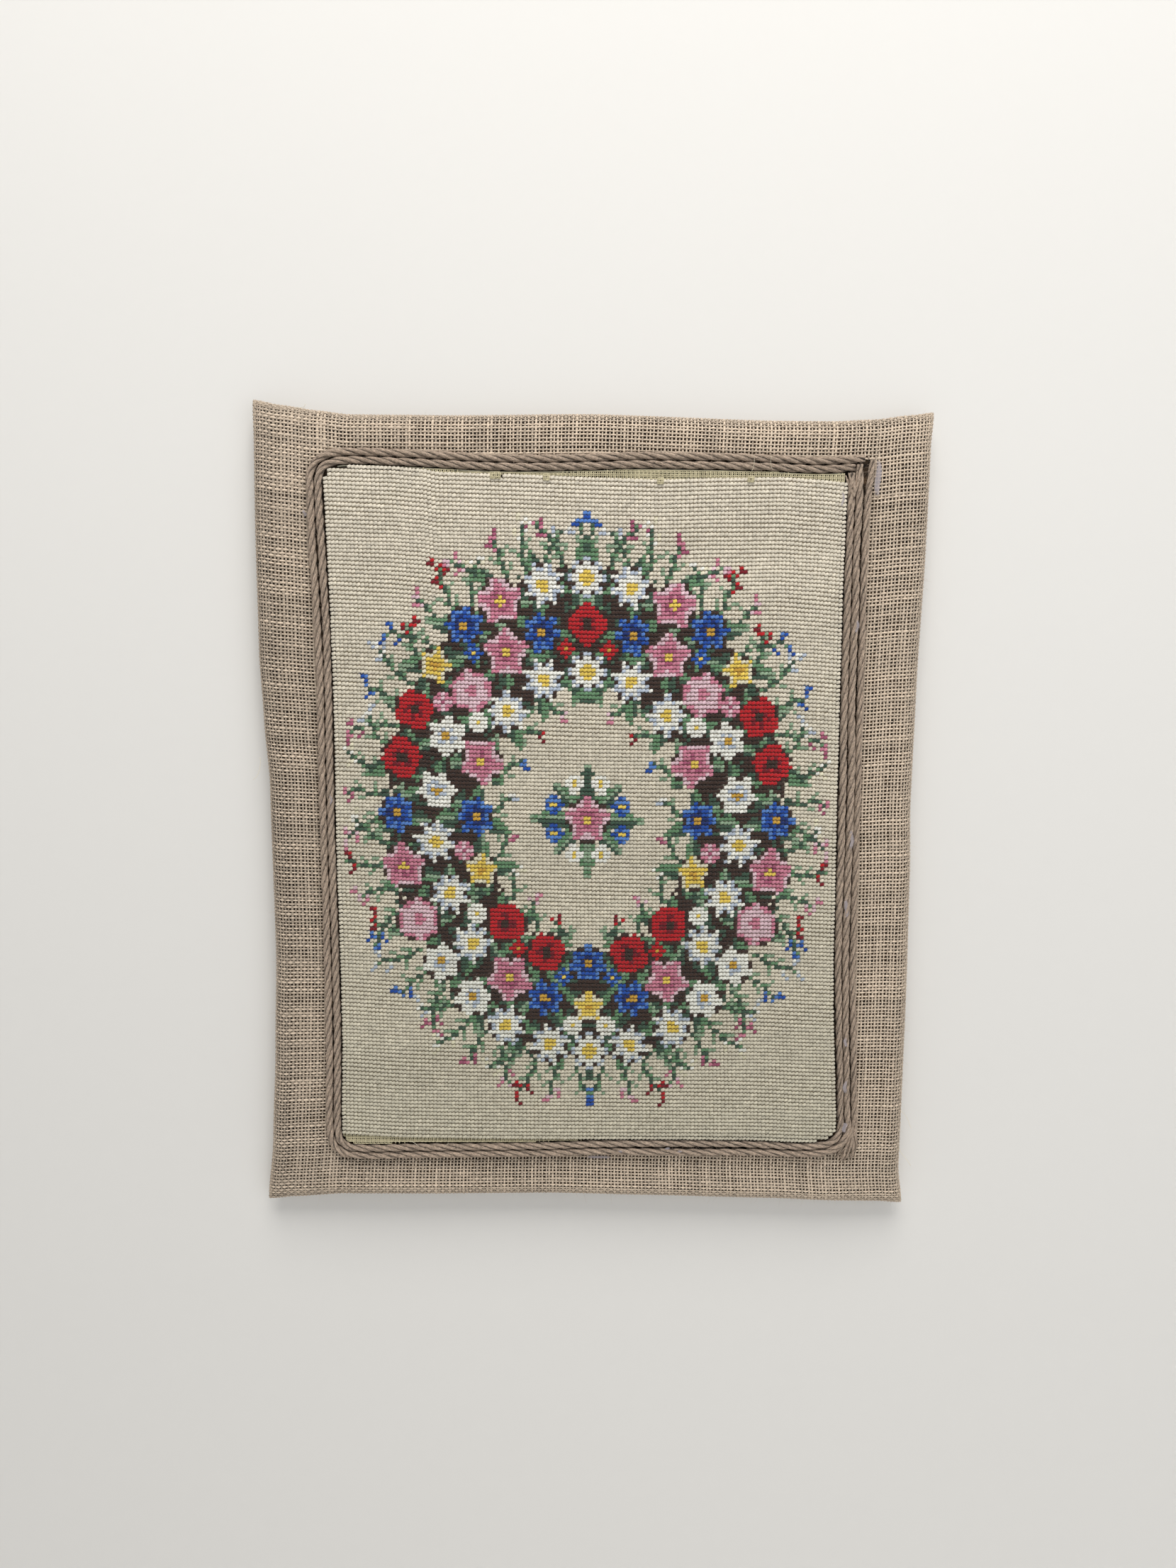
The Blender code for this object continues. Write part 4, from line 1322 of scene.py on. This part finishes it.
glue = {
    "colour": (172, 164, 168), "waver": 0.5,
    # Cover: how strong in the middle, where its noise starts, how sharp, and the most there is
    "body": 1.45, "patchScale": 1.1, "patchStart": 0.62, "patchRise": 2.2, "most": 0.55,
    # Columns: X, Z, half width, half height, lift above the panel
    "smears": (
        (173.0, -34.5, 2.9, 16.0, 1.1), (150.8, -48.0, 1.1, 7.0, 5.3), (164.0, -258.0, 1.8, 9.0, 4.9),
        (162.4, -302.0, 2.0, 9.5, 4.7), (165.0, -390.0, 1.6, 5.0, 4.8), (166.0, -420.0, 1.9, 6.5, 4.7),
        (166.5, -447.5, 2.3, 5.0, 4.7), (162.5, -125.0, 1.4, 6.0, 4.9), (-162.5, -235.0, 1.0, 4.5, 4.9),
        (-176.5, -60.0, 1.4, 3.0, 1.1), (7.0, -469.5, 12.0, 1.4, 1.0), (21.5, -464.0, 2.2, 1.2, 4.6),
        (51.5, -462.0, 2.5, 1.2, 4.6), (59.5, -464.0, 2.2, 1.1, 4.6),
    ),
}
looseThreads = {
    "colour": (214, 204, 180), "sway": 0.3,
    # A run with a lift under 1 mm stands off the side of the panel, at these Y places from start to end
    "free": (-9.5, -12.0),
    # Columns: start X and Z, end X and Z, sideways bow, radius, lift
    "runs": (
        (95.5, -22.5, 94.6, -32.0, 1.0, 0.12, 5.2), (106.5, -23.0, 107.2, -31.0, -0.8, 0.11, 5.2),
        (-115.5, -457.0, -109.5, -460.5, 0.8, 0.12, 4.9), (-93.5, -461.5, -90.5, -458.0, 0.5, 0.11, 4.9),
        (-186.0, 1.5, -176.0, 5.5, 1.6, 0.12, 0.6), (204.0, -440.0, 213.0, -452.0, 2.2, 0.11, 0.3),
        (206.0, -462.0, 214.0, -478.0, -2.0, 0.11, 0.3), (-209.0, -210.0, -213.0, -224.0, 2.0, 0.11, 0.3),
    ),
}


def makeGlueMaterial():  # thin dried glue, patchy and half clear
    material, tree, shader = newMaterial("driedGlue", 0.45)
    shader.inputs["Base Color"].default_value = (*linear(glue["colour"]), 1.0)
    patches = addNoise(tree, readAttribute(tree, "place", "Vector"), glue["patchScale"], 3.0, 0.65)
    body = addMath(tree, "MULTIPLY", readAttribute(tree, "tone", "Fac"), glue["body"])
    broken = addMath(tree, "SUBTRACT", patches, glue["patchStart"])
    broken = addMath(tree, "MULTIPLY", broken, glue["patchRise"])
    cover = addMath(tree, "MAXIMUM", addMath(tree, "ADD", body, broken), 0.0)
    tree.links.new(addMath(tree, "MINIMUM", cover, glue["most"]), shader.inputs["Alpha"])
    addBump(tree, shader, patches, 0.5, 0.3)
    return material


def makeGlue(material):
    parts = []
    a, b = np.meshgrid(np.linspace(-1, 1, 9), np.linspace(-1, 1, 17), indexing="ij")
    faces = squares(np.arange(a.size).reshape(a.shape)).reshape(-1, 4)
    oval = np.sqrt(1 - 0.5 * np.maximum(np.abs(a), np.abs(b)) ** 2)
    tone = 1 - np.clip(np.hypot(a, b), 0, 1) ** 1.5
    for number, (middleX, middleZ, wide, high, lift) in enumerate(glue["smears"]):
        x = middleX + a * oval * wide + glue["waver"] * np.sin(b * 4 + number)
        z = middleZ + b * oval * high
        sag = 0.125 * np.sin(x * 1.9) * np.sin(z * 0.7)
        parts.append({
            "points": onPanel(x, z, lift + sag).reshape(-1, 3), "faces": faces, "tone": tone.ravel(),
            "place": np.stack([x, z, 0 * x + number], axis=-1).reshape(-1, 3),
        })
    addPiece("glue_smears", joined(parts), material)


def makeLooseThreads(material):
    parts = []
    t = np.linspace(0, 1, 12)
    for startX, startZ, endX, endZ, bow, radius, lift in looseThreads["runs"]:
        x = startX + (endX - startX) * t + bow * np.sin(t * math.pi)
        z = startZ + (endZ - startZ) * t + bow * 0.5 * np.sin(t * math.tau)
        centres = onPanel(x, z, lift + looseThreads["sway"] * np.sin(t * 7))[None]
        if lift < 1:
            centres[0, :, 1] = np.linspace(*looseThreads["free"], len(t))
        thick = np.full((1, len(t)), radius)
        parts.append(tubes(centres, facingFront(centres), thick, thick, roundProfile(5)))
    addPiece("loose_threads", joined(parts), material)


# Camera, light and stage

camera = {  # angles in degrees, focal length and width in the photograph's pixels
    "eye": (-17.87, -751.06, -135.56), "pitch": 6.9, "yaw": 1.2, "roll": -0.6,
    "focal": 1661.0, "imageWidth": 1659.0,
}
stage = {
    "floor": -900.0, "backdrop": 4.5, "reach": 4000.0, "top": 1600.0, "colour": (214, 212, 208),
    "world": 0.42, "skyColour": (0.93, 0.96, 1.0),
    # Columns: place, size, power, colour
    "lights": (
        ((0.0, -1050.0, 1500.0), 1200.0, 42.0, (1.0, 0.98, 0.95)),
        ((900.0, -1700.0, -100.0), 1600.0, 9.0, (0.95, 0.97, 1.0)),
        ((500.0, 1400.0, 300.0), 1400.0, 16.0, (1.0, 1.0, 1.0)),
    ),
}


def addCamera():
    pitch, yaw, roll = (math.radians(camera[key]) for key in ("pitch", "yaw", "roll"))
    ahead = Vector((math.sin(yaw) * math.cos(pitch), math.cos(yaw) * math.cos(pitch), -math.sin(pitch)))
    right = ahead.cross(Vector((0, 0, 1))).normalized()
    down = ahead.cross(right)
    rolledRight = right * math.cos(roll) + down * math.sin(roll)
    rolledDown = down * math.cos(roll) - right * math.sin(roll)
    turned = Matrix((rolledRight, -rolledDown, -ahead)).transposed().to_4x4()
    lens = bpy.data.cameras.new("camera")
    lens.sensor_fit = "HORIZONTAL"
    lens.sensor_width = 36.0
    lens.lens = lens.sensor_width * camera["focal"] / camera["imageWidth"]
    lens.clip_start = 0.01
    holder = bpy.data.objects.new("camera", lens)
    holder.matrix_world = Matrix.Translation(Vector(camera["eye"]) * mm) @ turned
    bpy.context.scene.collection.objects.link(holder)
    bpy.context.scene.camera = holder
    print("camera set")


def addPlane(name, corners, material):
    mesh = bpy.data.meshes.new(name)
    mesh.from_pydata([Vector(corner) * mm for corner in corners], [], [(0, 1, 2, 3)])
    mesh.materials.append(material)
    plane = bpy.data.objects.new(name, mesh)
    bpy.context.scene.collection.objects.link(plane)
    return plane


def makeStagePaint(name):
    material, tree, shader = newMaterial(name, 0.9)
    shader.inputs["Base Color"].default_value = (*linear(stage["colour"]), 1.0)
    return material, tree, shader


def addStage():
    low, high, back, reach = (stage[key] for key in ("floor", "top", "backdrop", "reach"))
    paint = makeStagePaint("stagePaint")[0]
    corners = [(-reach, -reach, low), (reach, -reach, low), (reach, reach, low), (-reach, reach, low)]
    addPlane("floor", corners, paint)
    # The backdrop shows only from its front, and neither shades nor tints the back of the panel
    paint, tree, shader = makeStagePaint("backdropPaint")
    clear = tree.nodes.new("ShaderNodeBsdfTransparent")
    pick = tree.nodes.new("ShaderNodeMixShader")
    facing = tree.nodes.new("ShaderNodeNewGeometry")
    tree.links.new(facing.outputs["Backfacing"], pick.inputs[0])
    tree.links.new(shader.outputs[0], pick.inputs[1])
    tree.links.new(clear.outputs[0], pick.inputs[2])
    tree.links.new(pick.outputs[0], tree.nodes["Material Output"].inputs[0])
    corners = [(-reach, back, low), (reach, back, low), (reach, back, high), (-reach, back, high)]
    backdrop = addPlane("backdrop", corners, paint)
    backdrop.visible_diffuse = False
    backdrop.visible_shadow = False
    print("stage built")


def addLights():
    world = bpy.data.worlds.new("world")
    bpy.context.scene.world = world
    world.use_nodes = True
    sky = world.node_tree.nodes["Background"]
    sky.inputs[0].default_value = (*stage["skyColour"], 1.0)
    sky.inputs[1].default_value = stage["world"]
    for place, size, power, colour in stage["lights"]:
        lamp = bpy.data.lights.new("softbox", "AREA")
        lamp.size = size * mm
        lamp.energy = power
        lamp.color = colour
        holder = bpy.data.objects.new("softbox", lamp)
        holder.location = Vector(place) * mm
        aim = Vector((0, 0, panel["middle"])) - Vector(place)
        holder.rotation_euler = aim.to_track_quat("-Z", "Y").to_euler()
        bpy.context.scene.collection.objects.link(holder)
    print("lights set")


addCamera()
addLights()
addStage()
bpy.context.scene.view_settings.view_transform = "Standard"
burlapYarn = yarnMaterial("burlapYarn", burlap["yarn"])
ropes = ropeLines()
makePanelCover(makeBurlapClothAndGapShade())
makeBurlapThreads(ropes, burlapYarn)
makeBurlapHairs(burlapYarn, np.random.default_rng(burlap["seed"] + 1))
makeRopes(ropes, yarnMaterial("juteYarn", rope["yarn"]))
makeNeedlepoint(ropes)
makeGlue(makeGlueMaterial())
makeLooseThreads(yarnMaterial("looseYarn", dict(canvas["yarn"], colour=looseThreads["colour"])))
